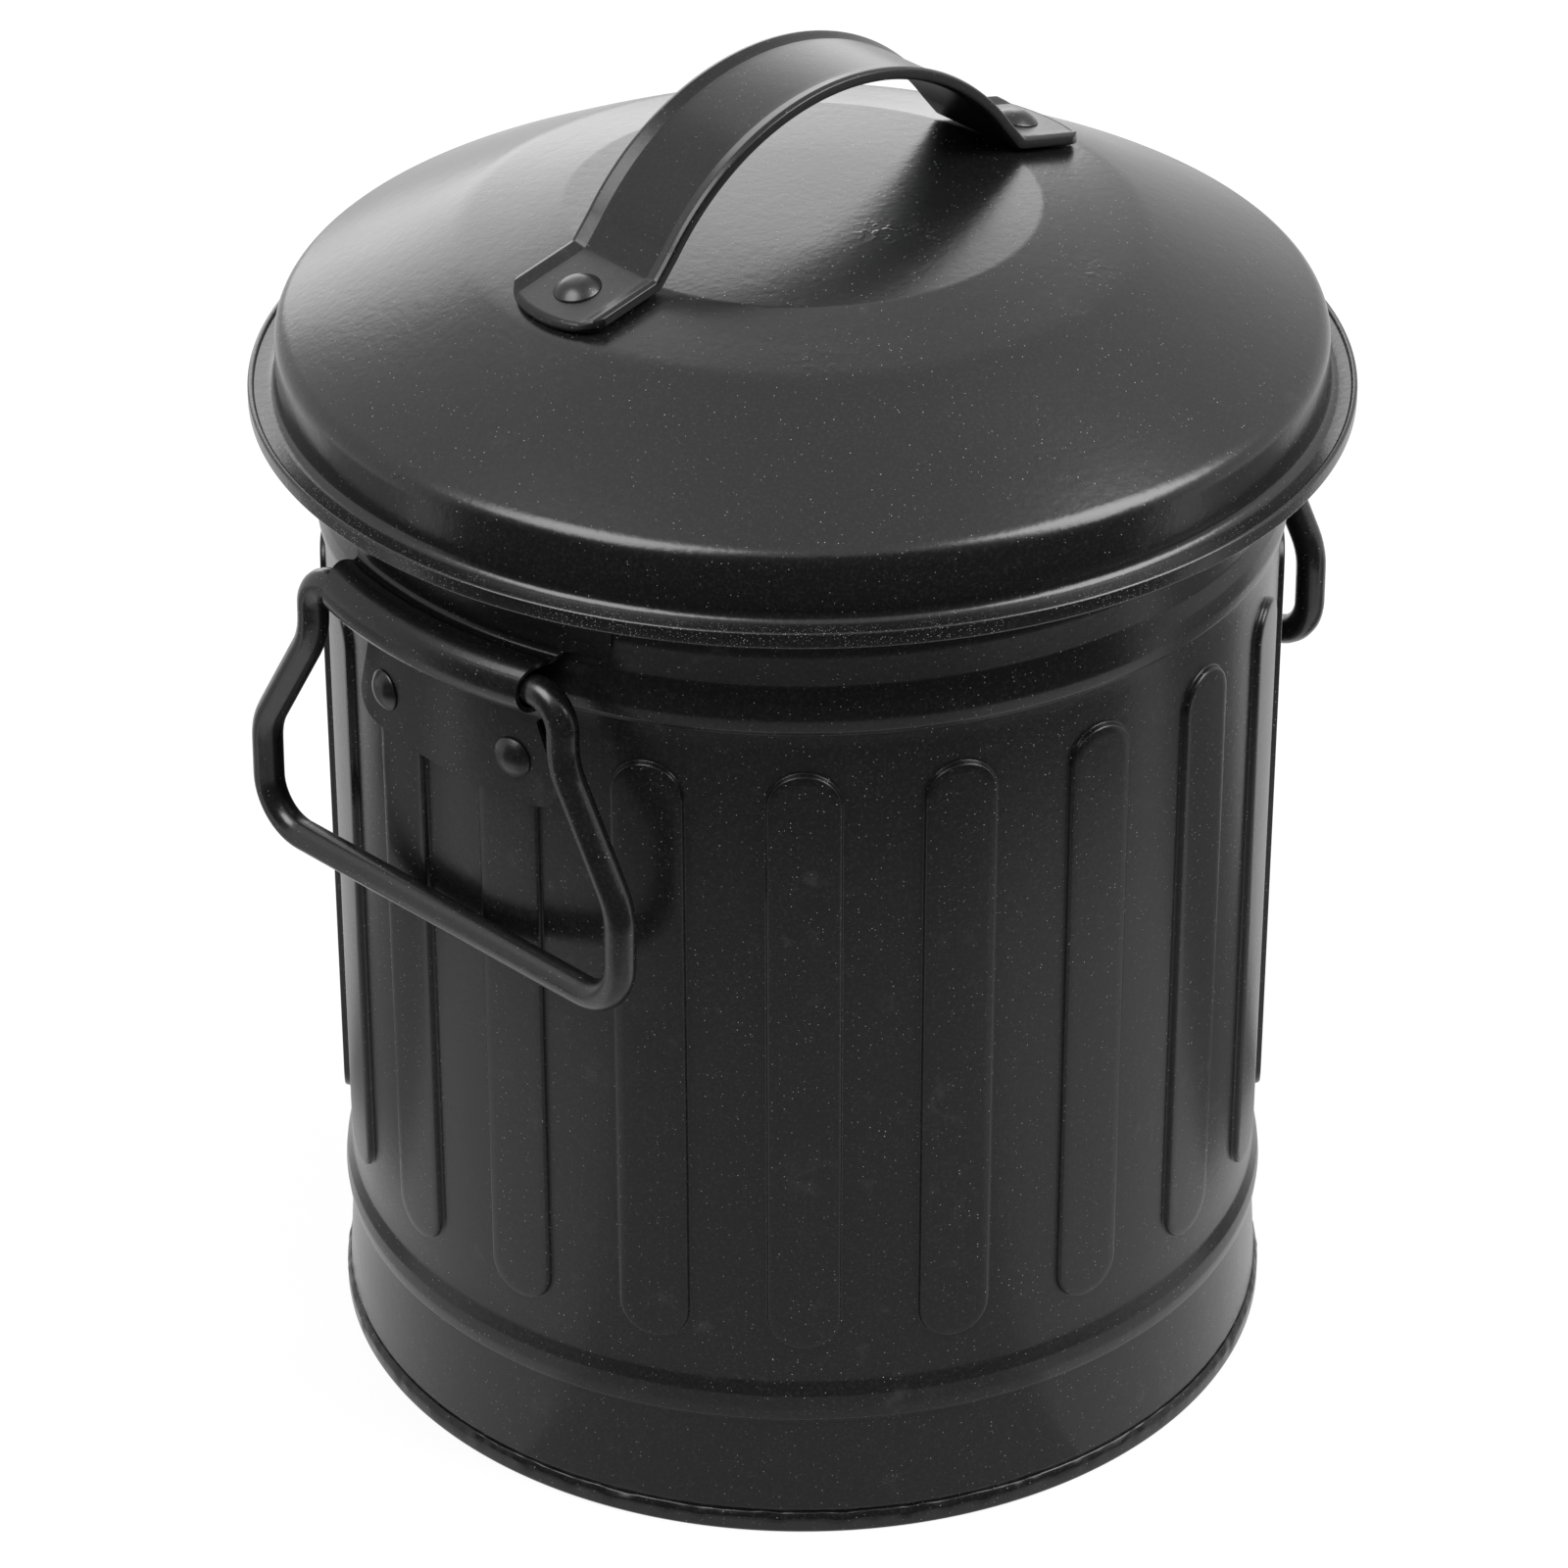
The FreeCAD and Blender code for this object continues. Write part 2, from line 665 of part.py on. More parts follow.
def build_lid_handle():
    """A sheet strap, its long edges folded under and its feet rounded."""
    body = new_body("lid_handle", lid_place)
    sketch = new_sketch(body, "strap_outline", "XZ_Plane")
    draw(sketch, strap_outline("band", Size.of(0), named("strap_edge")))
    band = body.newObject("PartDesign::Pad", "strap_band")
    band.Profile = sketch
    band.Midplane = True
    band.setExpression("Length", named("strap_width").text)
    doc.recompute()
    sketch = new_sketch(body, "channel_outline", "XZ_Plane")
    draw(sketch, strap_outline("channel", named("strap_sheet"), named("strap_edge") + CUT_PAST))
    channel = body.newObject("PartDesign::Pocket", "strap_channel")
    channel.Profile = sketch
    channel.Midplane = True
    channel.setExpression("Length", (named("strap_width") - 2 * named("strap_fold")).text)
    finish_cut(body, channel)
    tip = rivet_x + along[0] * named("foot_outside")
    side = named("strap_width") / 2
    corner = named("foot_corner")
    far = 2 * tip
    pocket_through(body, "foot_rounding", "XY_Plane", [
        [(-far, -far), (far, -far), (far, far), (-far, far)],
        [(-tip, -side + corner, corner, 1), (-tip + corner, -side),
         (tip - corner, -side, corner, 1), (tip, -side + corner),
         (tip, side - corner, corner, 1), (tip - corner, side),
         (-tip + corner, side, corner, 1), (-tip, side - corner)],
    ])
    drill_lid_holes(body)
    return body


lid_handle = build_lid_handle()


# -------------------------------------------------------------------- rivets
def build_rivet(label, kind, grip, place):
    """A domed rivet; its own Z axis points out of the head, and its origin is
    at the underside of the head."""
    body = new_body(label, place)
    head, shank = named(f"{kind}_head") / 2, named(f"{kind}_shank") / 2
    tail, height = named(f"{kind}_tail") / 2, named("tail_height")
    dome, skirt = named(f"{kind}_dome"), named("head_skirt")
    cap = dome - skirt
    cap_bend = (head * head + cap * cap) / (2 * cap)
    turned(body, f"{label}_turned", [
        (0, dome, cap_bend, -1), (head, skirt), (head, 0), (shank, 0),
        (shank, -grip), (tail, -grip), (tail, -grip - height / 2),
        (tail - height / 2, -grip - height), (0, -grip - height),
    ])
    return body


def side_rivet_place(angle):
    spin = around_z(angle)
    reach = plate_face + named("side_rivet_lift")
    point = spin.multVec(FreeCAD.Vector(reach.number, 0, side_rivet_level.number))
    return FreeCAD.Placement(point, spin.multiply(around_y(90)))


side_grip = derived("side_grip", plate_face + named("side_rivet_lift") - rib_radius
                    + sheet + named("tail_gap"))
lid_grip = derived("lid_grip", foot_lift + cove_sag + sheet + named("tail_gap"))
rivets = []
for side, turn in SIDES:
    for row, sign in (("front", -1), ("back", 1)):
        angle = turn + sign * (1 if side == "right" else -1) * side_rivet_angle.number
        rivets.append(build_rivet(f"{side}_rivet_{row}", "side_rivet", side_grip,
                                  side_rivet_place(angle)))
lean = math.degrees(math.asin(normal[0].number))
for side, turn in SIDES:
    spin = around_z(turn + named("lid_turn").number)
    point = spin.multVec(FreeCAD.Vector(rivet_x.number, 0, rivet_z.number))
    place = FreeCAD.Placement(point, spin.multiply(around_y(lean)))
    rivets.append(build_rivet(f"lid_rivet_{side}", "lid_rivet", lid_grip, place))


# ------------------------------------------------------------------ brackets
def bracket_profile():
    """The bracket's sheet in radius and height: flange, rolled loop, plate.
    The loop is tangent to a reverse bend above it and to one below it."""
    thick = named("bracket_sheet")
    flange_in = wall + named("neck_gap")
    flange_out = flange_in + thick
    plate_in = rib_radius + named("rib_gap")
    top = named("body_height") - named("flange_top")
    foot = loop_level - named("plate_drop")
    outer = loop_radius
    inner = outer - thick
    upper, lower = named("upper_bend"), named("lower_bend")
    upper_cos = derived("upper_cos", (flange_out + upper - loop_ring) / (outer + upper))
    upper_sin = derived("upper_sin", root(1 - upper_cos * upper_cos))
    lower_cos = derived("lower_cos", (plate_face + lower - loop_ring) / (outer + lower))
    lower_sin = derived("lower_sin", root(1 - lower_cos * lower_cos))
    upper_level = loop_level + (outer + upper) * upper_sin
    lower_level = loop_level - (outer + lower) * lower_sin
    return [
        (flange_in, top), (flange_out, top),
        (flange_out, upper_level, upper, 1),
        (loop_ring + outer * upper_cos, loop_level + outer * upper_sin, outer, -1),
        (loop_ring + outer, loop_level, outer, -1),
        (loop_ring + outer * lower_cos, loop_level - outer * lower_sin, lower, 1),
        (plate_face, lower_level), (plate_face, foot), (plate_in, foot),
        (plate_in, lower_level, lower + thick, -1),
        (loop_ring + inner * lower_cos, loop_level - inner * lower_sin, inner, 1),
        (loop_ring + inner, loop_level, inner, 1),
        (loop_ring + inner * upper_cos, loop_level + inner * upper_sin,
         upper + thick, -1),
        (flange_in, upper_level),
    ]


def bracket_outline():
    """The front view of a bracket, from its lower edge up its right side and
    down its left side."""
    top = named("body_height") - named("flange_top") + CUT_PAST
    foot = loop_level - named("plate_drop")
    ledge = loop_level + named("ledge_rise")
    loop, notch = named("loop_reach"), named("ledge_notch")
    reach, ledge_corner = named("flange_reach"), named("ledge_corner")
    plate, corner = named("plate_reach"), named("plate_corner")
    right = [
        (plate - corner, foot, corner, 1), (plate, foot + corner),
        (named("plate_neck_reach"), loop_level - named("plate_neck_drop")),
        (loop, loop_level - named("loop_foot_drop")),
        (loop, ledge - notch, notch, -1), (loop + notch, ledge),
        (reach - ledge_corner, ledge, ledge_corner, 1), (reach, ledge + ledge_corner),
        (reach, top),
    ]
    left = [(-corner[0], corner[1]) + ((corner[2], -corner[3]) if corner[2:] else ())
            for corner in backwards(right)]
    return right + left


bracket_sheet_profile = bracket_profile()
bracket_front = bracket_outline()


def build_bracket(side, turn):
    """The profile turned through the flange's width, then trimmed in front."""
    label = f"{side}_bracket"
    body = new_body(label, FreeCAD.Placement(FreeCAD.Vector(0, 0, 0), around_z(turn)))
    widest = (named("flange_reach") + SWEEP_PAST) / (wall + named("neck_gap"))
    turned(body, f"{label}_sheet", bracket_sheet_profile, 2 * arcsine(widest))
    far = 2 * named("flange_reach")
    low, high = loop_level - far, loop_level + far
    pocket_through(body, f"{label}_trim", "YZ_Plane", [
        [(-far, low), (far, low), (far, high), (-far, high)], bracket_front])
    for name, sign in (("a", -1), ("b", 1)):
        drill_side_hole(body, f"{label}_hole_{name}", sign * side_rivet_angle)
    return body


brackets = [build_bracket(side, turn) for side, turn in SIDES]

# --------------------------------------------------------------------- bails
pivot_ring = derived("pivot_ring", loop_ring + loop_radius - named("bracket_sheet")
                     - wire_radius - named("pivot_play"))
hinge_x = derived("hinge_x", root(pivot_ring * pivot_ring
                                  - named("loop_reach") * named("loop_reach")))
lean_sine = derived("lean_sine", (rib_radius + wire_radius + named("bail_rest_gap")
                                  - hinge_x) / named("bail_drop"))


def rounded_path(corners):
    """Turns (x, y) and (x, y, bend) corners into straight runs and arcs."""
    path = [corners[0]]
    for number in range(1, len(corners) - 1):
        before, corner, after = corners[number - 1], corners[number], corners[number + 1]
        run_in = (corner[0] - before[0], corner[1] - before[1])
        run_out = (after[0] - corner[0], after[1] - corner[1])
        length_in, length_out = length_of(*run_in), length_of(*run_out)
        bend = corner[2]
        turn_cos = (run_in[0] * run_out[0] + run_in[1] * run_out[1]) / (length_in * length_out)
        back = derived(f"wire_back_{number}", bend * root((1 - turn_cos) / (1 + turn_cos)))
        start = [corner[axis] - run_in[axis] * back / length_in for axis in (0, 1)]
        end = [corner[axis] + run_out[axis] * back / length_out for axis in (0, 1)]
        turning = run_in[0].number * run_out[1].number - run_in[1].number * run_out[0].number
        path.append((*start, bend, 1 if turning > 0 else -1))
        path.append(tuple(end))
    path.append(corners[-1])
    return path


def bail_path():
    """Half of the bail, mirrored: pivot, leg, flared leg and bottom bar."""
    end, upper, lower = named("pivot_end"), named("bail_top_reach"), named("bail_low_reach")
    zero = Size.of(0)
    side_bend = named("bail_side_bend")
    half = [
        (end, zero), (upper, zero, named("bail_top_bend")),
        (upper, -named("bail_neck_drop"), side_bend),
        (lower, -named("bail_flare_drop"), side_bend),
        (lower, -named("bail_drop"), named("bail_low_bend")),
    ]
    mirrored = [(-corner[0], *corner[1:]) for corner in reversed(half)]
    return rounded_path(half + mirrored)


wire_path = bail_path()


def build_bail(side, turn):
    """One bent wire; its two short ends point at each other in the loop. It
    hangs a little outwards, so that its bottom bar clears the ribs."""
    tilt = around_y(-math.degrees(math.asin(lean_sine.number)))
    spin = around_z(turn)
    label = f"{side}_bail"
    body = new_body(label, FreeCAD.Placement(
        spin.multVec(FreeCAD.Vector(hinge_x.number, 0, loop_level.number)),
        spin.multiply(tilt)))
    path = new_sketch(body, f"{label}_path", "YZ_Plane")
    count = draw(path, wire_path, closed=False)
    section = new_sketch(body, f"{label}_section", "XZ_Plane", -named("pivot_end"))
    circle = Part.Circle(FreeCAD.Vector(0, 0, 0), FreeCAD.Vector(0, 0, 1),
                         wire_radius.number)
    number = section.addGeometry(circle, False)
    section.addConstraint(Sketcher.Constraint("Coincident", number, 3, -1, 1))
    bind(section, "Radius", number, size=wire_radius)
    doc.recompute()
    wire = body.newObject("PartDesign::AdditivePipe", f"{label}_wire")
    wire.Profile = section
    wire.Spine = (path, [f"Edge{edge + 1}" for edge in range(count)])
    doc.recompute()
    return body


bails = [build_bail(side, turn) for side, turn in SIDES]

# ------------------------------------------------------------ check and write
doc.recompute()
for thing in doc.Objects:
    state = set(thing.State)
    assert not state & {"Invalid", "Error"}, f"{thing.Label}: {thing.State}"

nodes = [body_shell, base_pan, lid_shell, lid_handle] + brackets + bails + rivets
for node in nodes:
    shape = node.Shape
    assert not shape.isNull() and shape.isValid(), f"{node.Label} has a bad shape"
    assert len(shape.Solids) == 1, f"{node.Label} is in {len(shape.Solids)} pieces"
    shape.exportStep(f"parts/{node.Label}.step")
    print(node.Label, round(shape.Volume, 1))
print(f"hinges at x {hinge_x.number:.3f}, z {loop_level.number:.3f}")
print(f"lid: wall top {bend_level.number:.2f}, ring {ring_level.number:.2f}, "
      f"crown {crown_level.number:.2f}, flange {flange_level.number:.2f}")
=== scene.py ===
# %% [markdown]
# # A small black steel bin
#
# This lesson builds the looks of a painted sheet-steel bin round a model that
# already has the right sizes. The plain model comes in first and stays where it
# is. Each pressed, rolled or bent piece is then made again with rounded edges,
# because real sheet metal has no perfectly sharp corner, and a rounded edge is
# what catches the light.

# %% Load the sized model
import bmesh
import bpy
import math
from mathutils import Matrix, Vector, noise


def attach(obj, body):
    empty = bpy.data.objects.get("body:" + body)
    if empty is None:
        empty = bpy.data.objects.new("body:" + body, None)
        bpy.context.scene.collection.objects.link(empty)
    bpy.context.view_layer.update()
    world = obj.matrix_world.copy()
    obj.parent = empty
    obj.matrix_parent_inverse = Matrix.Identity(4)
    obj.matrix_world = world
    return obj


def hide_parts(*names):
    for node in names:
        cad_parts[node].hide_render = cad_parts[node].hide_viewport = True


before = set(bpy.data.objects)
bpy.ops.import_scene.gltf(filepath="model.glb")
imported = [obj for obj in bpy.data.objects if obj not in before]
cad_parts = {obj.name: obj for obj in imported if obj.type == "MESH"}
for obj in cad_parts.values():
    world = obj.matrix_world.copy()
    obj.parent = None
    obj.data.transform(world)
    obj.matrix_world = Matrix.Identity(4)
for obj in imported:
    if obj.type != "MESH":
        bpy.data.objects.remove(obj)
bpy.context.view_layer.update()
MM = 0.001

# %% [markdown]
# ## Arithmetic for materials
#
# A material is a small calculation done at every point of a surface. Blender
# draws it as boxes with wires. Writing `1 - dust` is easier to read than three
# boxes, so one small class holds an output and lets Python's own signs add the
# Math nodes. Every other kind of node comes from one method.

# %% A class for shader values
class Value:
    """One output in a material, which can be added, subtracted or multiplied."""

    def __init__(self, paint, socket):
        self.paint = paint
        self.socket = socket

    def maths(self, operation, first, second):
        return self.paint.node("ShaderNodeMath", {"operation": operation},
                               {0: first, 1: second})

    def __add__(self, other):
        return self.maths("ADD", self, other)

    def __radd__(self, other):
        return self.maths("ADD", other, self)

    def __sub__(self, other):
        return self.maths("SUBTRACT", self, other)

    def __rsub__(self, other):
        return self.maths("SUBTRACT", other, self)

    def __mul__(self, other):
        return self.maths("MULTIPLY", self, other)

    def __rmul__(self, other):
        return self.maths("MULTIPLY", other, self)


# %% A class for the nodes of a material
class Paint:
    """The nodes of a new material or world, added one by one."""

    def __init__(self, owner):
        self.owner = owner
        owner.use_nodes = True
        self.tree = owner.node_tree
        self.tree.nodes.clear()

    def node(self, kind, settings=None, inputs=None, output=0):
        """A node with its settings, and its inputs as numbers or links."""
        made = self.tree.nodes.new(kind)
        for key, setting in (settings or {}).items():
            setattr(made, key, setting)
        for key, given in (inputs or {}).items():
            if isinstance(given, Value):
                self.tree.links.new(given.socket, made.inputs[key])
            else:
                made.inputs[key].default_value = given
        return Value(self, made.outputs[output])

    def step(self, value, low, high):
        """0 below low, 1 above high and a smooth rise between them."""
        return self.node("ShaderNodeMapRange", {"interpolation_type": "SMOOTHSTEP"},
                         {"Value": value, "From Min": low, "From Max": high})

    def finish(self, surface, output="ShaderNodeOutputMaterial"):
        end = self.tree.nodes.new(output)
        self.tree.links.new(surface.socket, end.inputs["Surface"])
        return self.owner


# %% [markdown]
# ## Patterns that stay on a piece
#
# Real paint has its flaws in fixed places. Blender's textures are solid, as if
# the piece were cut from a patterned block, so they are read at the piece's own
# Object coordinates and stay put when it moves. Noise gives clouds and waves. A
# cell texture scatters points, and a small dot round some of them is dust.

# %% Clouds and specks
class SprayPaint(Paint):
    """A material with patterns that are fixed to its piece. A scale is the
    number of waves or cells in a metre."""

    def __init__(self, name):
        super().__init__(bpy.data.materials.new(name))
        self.place = self.node("ShaderNodeTexCoord", output="Object")

    def cloud(self, scale, detail, rough=0.5):
        return self.node("ShaderNodeTexNoise", {"noise_dimensions": "3D"},
                         {"Vector": self.place, "Scale": scale, "Detail": detail,
                          "Roughness": rough})

    def specks(self, scale, share, size):
        """Small round dots at scattered points. share is how many of the points
        have one, and size is its radius as a part of a cell."""
        cell = {"Vector": self.place, "Scale": scale, "Randomness": 1.0}
        near = self.node("ShaderNodeTexVoronoi", {"feature": "F1"}, cell, "Distance")
        pick = self.node("ShaderNodeTexVoronoi", {"feature": "F1"}, cell, "Color")
        lottery = self.node("ShaderNodeSeparateColor", None, {0: pick}, 0)
        bright = self.node("ShaderNodeSeparateColor", None, {0: pick}, 1)
        dot = 1 - self.step(near, 0.3 * size, size)
        chosen = self.step(lottery, 1 - share, 1.01 - share)
        return dot * (0.25 + bright * 0.75) * chosen


# %% [markdown]
# ## Black semi-gloss paint
#
# The real bin is sprayed black. From close by the paint isn't even: it has the
# faint waviness that painters call orange peel, a fine satin grain, a few runs,
# and specks of pale dust that settled while it was wet. The colour stays nearly
# black. What the eye reads is the reflection, so most of the work goes into the
# roughness and into bumps of three sizes.

# %% Dust, relief and runs
# the lid's flange in metres: where it starts, going out, and where it ends, going up
FLANGE_START = (0.0866, 0.0880)
FLANGE_TOP = (0.1780, 0.1790)


def dust_specks(paint, share, in_flange):
    """How much pale dust lies at each point. More of it gathers in the flange."""
    patch = paint.step(paint.cloud(38.0, 3.0), 0.35, 0.70)
    fleck = paint.specks(1400.0, share, 0.145) * (0.45 + patch * 0.45)
    if in_flange:
        across = paint.node("ShaderNodeVectorMath", {"operation": "MULTIPLY"},
                            {0: paint.place, 1: (1, 1, 0)})
        reach = paint.node("ShaderNodeVectorMath", {"operation": "LENGTH"},
                           {0: across}, "Value")
        height = paint.node("ShaderNodeSeparateXYZ", None, {0: paint.place}, 2)
        lies = paint.step(reach, *FLANGE_START) * (1 - paint.step(height, *FLANGE_TOP))
        heap = paint.step(paint.cloud(60.0, 3.0), 0.4, 0.6)
        fleck = fleck + paint.specks(3200.0, 0.50, 0.28) * 0.7 * lies * heap
    return fleck


def relief(paint, peel, grain, fleck):
    """Height of the paint in metres, from the widest waves to the finest."""
    height = paint.cloud(420.0, 2.0) * (0.6 * peel * MM)
    height = height + paint.cloud(900.0, 1.5) * (0.4 * peel * MM)
    height = height + paint.cloud(2400.0, 3.0, 0.6) * (grain * MM)
    return height + fleck * (0.02 * MM)


def add_runs(paint, height, runs):
    """Adds blistered spots, each a place and a radius in millimetres."""
    ripple = paint.step(paint.cloud(640.0, 1.0, 0.3), 0.50, 0.64)
    for (x, y, z), radius in runs:
        away = paint.node("ShaderNodeVectorMath", {"operation": "DISTANCE"},
                          {0: paint.place, 1: (x * MM, y * MM, z * MM)}, "Value")
        there = 1 - paint.step(away, 0.2 * radius * MM, radius * MM)
        height = height + there * ripple * (0.045 * MM)
    return height


# %% The paint recipe
BLACK = (0.0042, 0.0042, 0.0044, 1)
DUST = (0.48, 0.48, 0.49, 1)
SCUFF = (0.030, 0.030, 0.031, 1)


def black_paint(name, gloss, level, peel, grain, dust, runs=(), in_flange=False):
    """Black paint. gloss is the roughness and level the strength of its shine;
    peel and grain are bump heights in millimetres; dust is the share of specks;
    in_flange adds the dust that lies in the lid's flange."""
    paint = SprayPaint(name)
    fleck = dust_specks(paint, dust, in_flange)
    height = relief(paint, peel, grain, fleck)
    if runs:
        height = add_runs(paint, height, runs)

    # large, faint differences in how the paint dried, and small scuffs
    drying = paint.cloud(24.0, 4.0, 0.6)
    rubbed = (paint.step(paint.cloud(170.0, 6.0, 0.7), 0.55, 0.80)
              * paint.step(drying, 0.42, 0.66))
    mottle = paint.step(paint.cloud(1900.0, 2.0), 0.45, 0.75)
    base = paint.node("ShaderNodeMix", {"data_type": "RGBA"},
                      {0: rubbed * 0.6 + mottle * 0.2, 6: BLACK, 7: SCUFF}, 2)
    colour = paint.node("ShaderNodeMix", {"data_type": "RGBA"},
                        {0: fleck, 6: base, 7: DUST}, 2)
    roughness = gloss - 0.06 + drying * 0.12 + fleck * 0.3

    bump = paint.node("ShaderNodeBump", None,
                      {"Strength": 1.0, "Distance": 1.0, "Height": height}, "Normal")
    shader = paint.node("ShaderNodeBsdfPrincipled", None,
                        {"Base Color": colour, "Roughness": roughness, "Normal": bump,
                         "Specular IOR Level": level, "Metallic": 0.0})
    return paint.finish(shader)


# %% Five paints from one recipe
LID_RUNS = (((-0.3, -18.1, 207.7), 6.0), ((4.5, -22.5, 207.6), 4.5),
            ((-36.2, -39.4, 204.3), 6.5), ((-57.9, -32.5, 200.0), 6.0),
            ((-60.5, -35.5, 197.5), 5.0), ((18.6, -47.3, 205.6), 6.0),
            ((30.0, 44.0, 204.0), 6.0), ((62.0, 20.0, 198.0), 5.0),
            ((-85.6, 4.1, 188.0), 5.0))
CAN_PAINT = black_paint("black_paint_on_can", gloss=0.27, level=0.28, peel=0.030,
                        grain=0.0080, dust=0.50)
LID_PAINT = black_paint("black_paint_on_lid", gloss=0.25, level=0.42, peel=0.055,
                        grain=0.0060, dust=0.35, runs=LID_RUNS, in_flange=True)
STRAP_PAINT = black_paint("black_paint_on_strap", gloss=0.30, level=0.31, peel=0.034,
                          grain=0.0060, dust=0.35)
RIVET_PAINT = black_paint("black_paint_on_rivets", gloss=0.30, level=0.42, peel=0.020,
                          grain=0.0060, dust=0.30)
WIRE_PAINT = black_paint("black_paint_on_wire", gloss=0.26, level=0.50, peel=0.034,
                         grain=0.0080, dust=0.35)
for paint in (CAN_PAINT, LID_PAINT, STRAP_PAINT, RIVET_PAINT, WIRE_PAINT):
    print(paint.name, "nodes", len(paint.node_tree.nodes))

# %% [markdown]
# ## Rounded outlines
#
# Pressed steel is drawn as an outline with a bend radius at each corner, in the
# way a toolmaker would dimension it. The helper takes such corners, in
# millimetres, and gives points along the bends. Long bends get more points than
# short ones, so that a curve looks smooth and a small corner stays cheap.

# %% Outline helper
def rounded(corners, closed=False, turn_step=12.0, longest=2.2):
    """Points along corners (x, y, bend radius); bends get several points."""
    points = []
    count = len(corners)
    for index, corner in enumerate(corners):
        here = Vector(corner[:2])
        radius = corner[2] if len(corner) > 2 else 0.0
        at_end = not closed and index in (0, count - 1)
        if at_end or radius <= 0:
            points.append(here)
            continue
        back = (Vector(corners[index - 1][:2]) - here).normalized()
        ahead = (Vector(corners[(index + 1) % count][:2]) - here).normalized()
        turn = math.pi - back.angle(ahead)
        if turn < 1e-4:
            points.append(here)
            continue
        inset = radius * math.tan(turn / 2)
        middle = here + (back + ahead).normalized() * (radius / math.cos(turn / 2))
        start, end = here + back * inset, here + ahead * inset
        pieces = max(2, math.ceil(math.degrees(turn) / turn_step),
                     math.ceil(radius * turn / longest))
        spoke, last = start - middle, end - middle
        sweep = spoke.angle_signed(last)
        for piece in range(pieces + 1):
            points.append(middle + Matrix.Rotation(-sweep * piece / pieces, 2) @ spoke)
    return points


# %% [markdown]
# ## From an outline to a solid
#
# Sheet metal is spun, pressed or drawn out, and bmesh has the same moves. A chain
# of edges is spun round an axis, or a ring of edges is extruded step by step.
# After that, doubled vertices are merged and the faces are turned outwards,
# because light and thickness both depend on which way a face points.

# %% Chains, rings and spins
TURNS = 320    # steps in a full turn of the can and the lid
AXIS = {"cent": (0, 0, 0), "axis": (0, 0, 1), "dvec": (0, 0, 0)}    # upright, in the middle


def vertex_chain(mesh, points):
    """Joins points, given as radius and height in millimetres, into a chain."""
    verts = [mesh.verts.new((p.x * MM, 0, p.y * MM)) for p in points]
    edges = [mesh.edges.new(pair) for pair in zip(verts, verts[1:])]
    return verts, edges


def spin_outline(mesh, points, turns=TURNS):
    """Turns an outline all the way round the upright axis."""
    verts, edges = vertex_chain(mesh, points)
    bmesh.ops.spin(mesh, geom=verts + edges, angle=math.tau, steps=turns,
                   use_merge=True, use_duplicate=False, **AXIS)


def vertex_ring(mesh, points):
    """Joins points into a closed ring, and gives its edges."""
    verts = [mesh.verts.new(point) for point in points]
    return [mesh.edges.new((verts[index - 1], verts[index])) for index in range(len(verts))]


def pull_ring(mesh, edges):
    """Extrudes a ring of edges; gives the new edges and their vertices."""
    made = bmesh.ops.extrude_edge_only(mesh, edges=edges)["geom"]
    ends = [item for item in made if isinstance(item, bmesh.types.BMVert)]
    new = set(ends)
    return [item for item in made if isinstance(item, bmesh.types.BMEdge)
            and set(item.verts) <= new], ends


def face_outwards(mesh):
    """Merges doubles, then makes every face point away from the metal."""
    bmesh.ops.remove_doubles(mesh, verts=mesh.verts, dist=2e-6)
    bmesh.ops.dissolve_degenerate(mesh, edges=mesh.edges, dist=1e-7)
    bmesh.ops.recalc_face_normals(mesh, faces=mesh.faces)


# %% From a bmesh to an object
def make_object(name, mesh, material):
    """Turns a finished bmesh into an object in the scene."""
    data = bpy.data.meshes.new(name)
    mesh.to_mesh(data)
    mesh.free()
    data.materials.append(material)
    made = bpy.data.objects.new(name, data)
    bpy.context.scene.collection.objects.link(made)
    return made


def make_piece(name, mesh, body, node, material):
    """Makes a smooth object that stands for one CAD node and moves with its body."""
    piece = make_object(name, mesh, material)
    piece.data.shade_smooth()
    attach(piece, body)
    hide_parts(node)
    print(name, "faces", len(piece.data.polygons))
    return piece


def give_thickness(piece, millimetres, offset):
    """Sheet metal: a second skin. An offset of -1 puts it inside the first, and
    an offset of 0 puts the two on either side of it."""
    wall = piece.modifiers.new("thickness", "SOLIDIFY")
    wall.thickness = millimetres * MM
    wall.offset = offset
    wall.use_even_offset = True
    wall.use_quality_normals = True


# %% [markdown]
# ## The ribbed can
#
# The wall is one sheet, rolled to a cylinder, with a bead pressed in near each
# end and twenty upright ribs between them. A rib is a long slot shape pushed out
# by a millimetre, with soft shoulders. One rib is drawn flat, like a label. It
# starts as the label's border, and that ring of edges is extruded inwards again
# and again. Each new ring is laid on the next outline, so the faces run along
# the rib's edge and shade smoothly. The flat label is then bent to the can's
# radius and a spin repeats it. The beads, the neck and the curled rim are plain
# turned shapes.

# %% Size of the wall and the outlines of one flat rib
WALL = 79.1
SHEET = 0.5
RIB_TURN = 18.0
BAND_LOW, BAND_HIGH = 34.0, 150.5
RIB_LOW, RIB_HIGH, RIB_HALF = 36.85, 146.85, 6.25
LABEL_HALF = math.radians(RIB_TURN / 2) * WALL
END_PIECES, SIDE_PIECES = round(TURNS * RIB_TURN / 360), 5
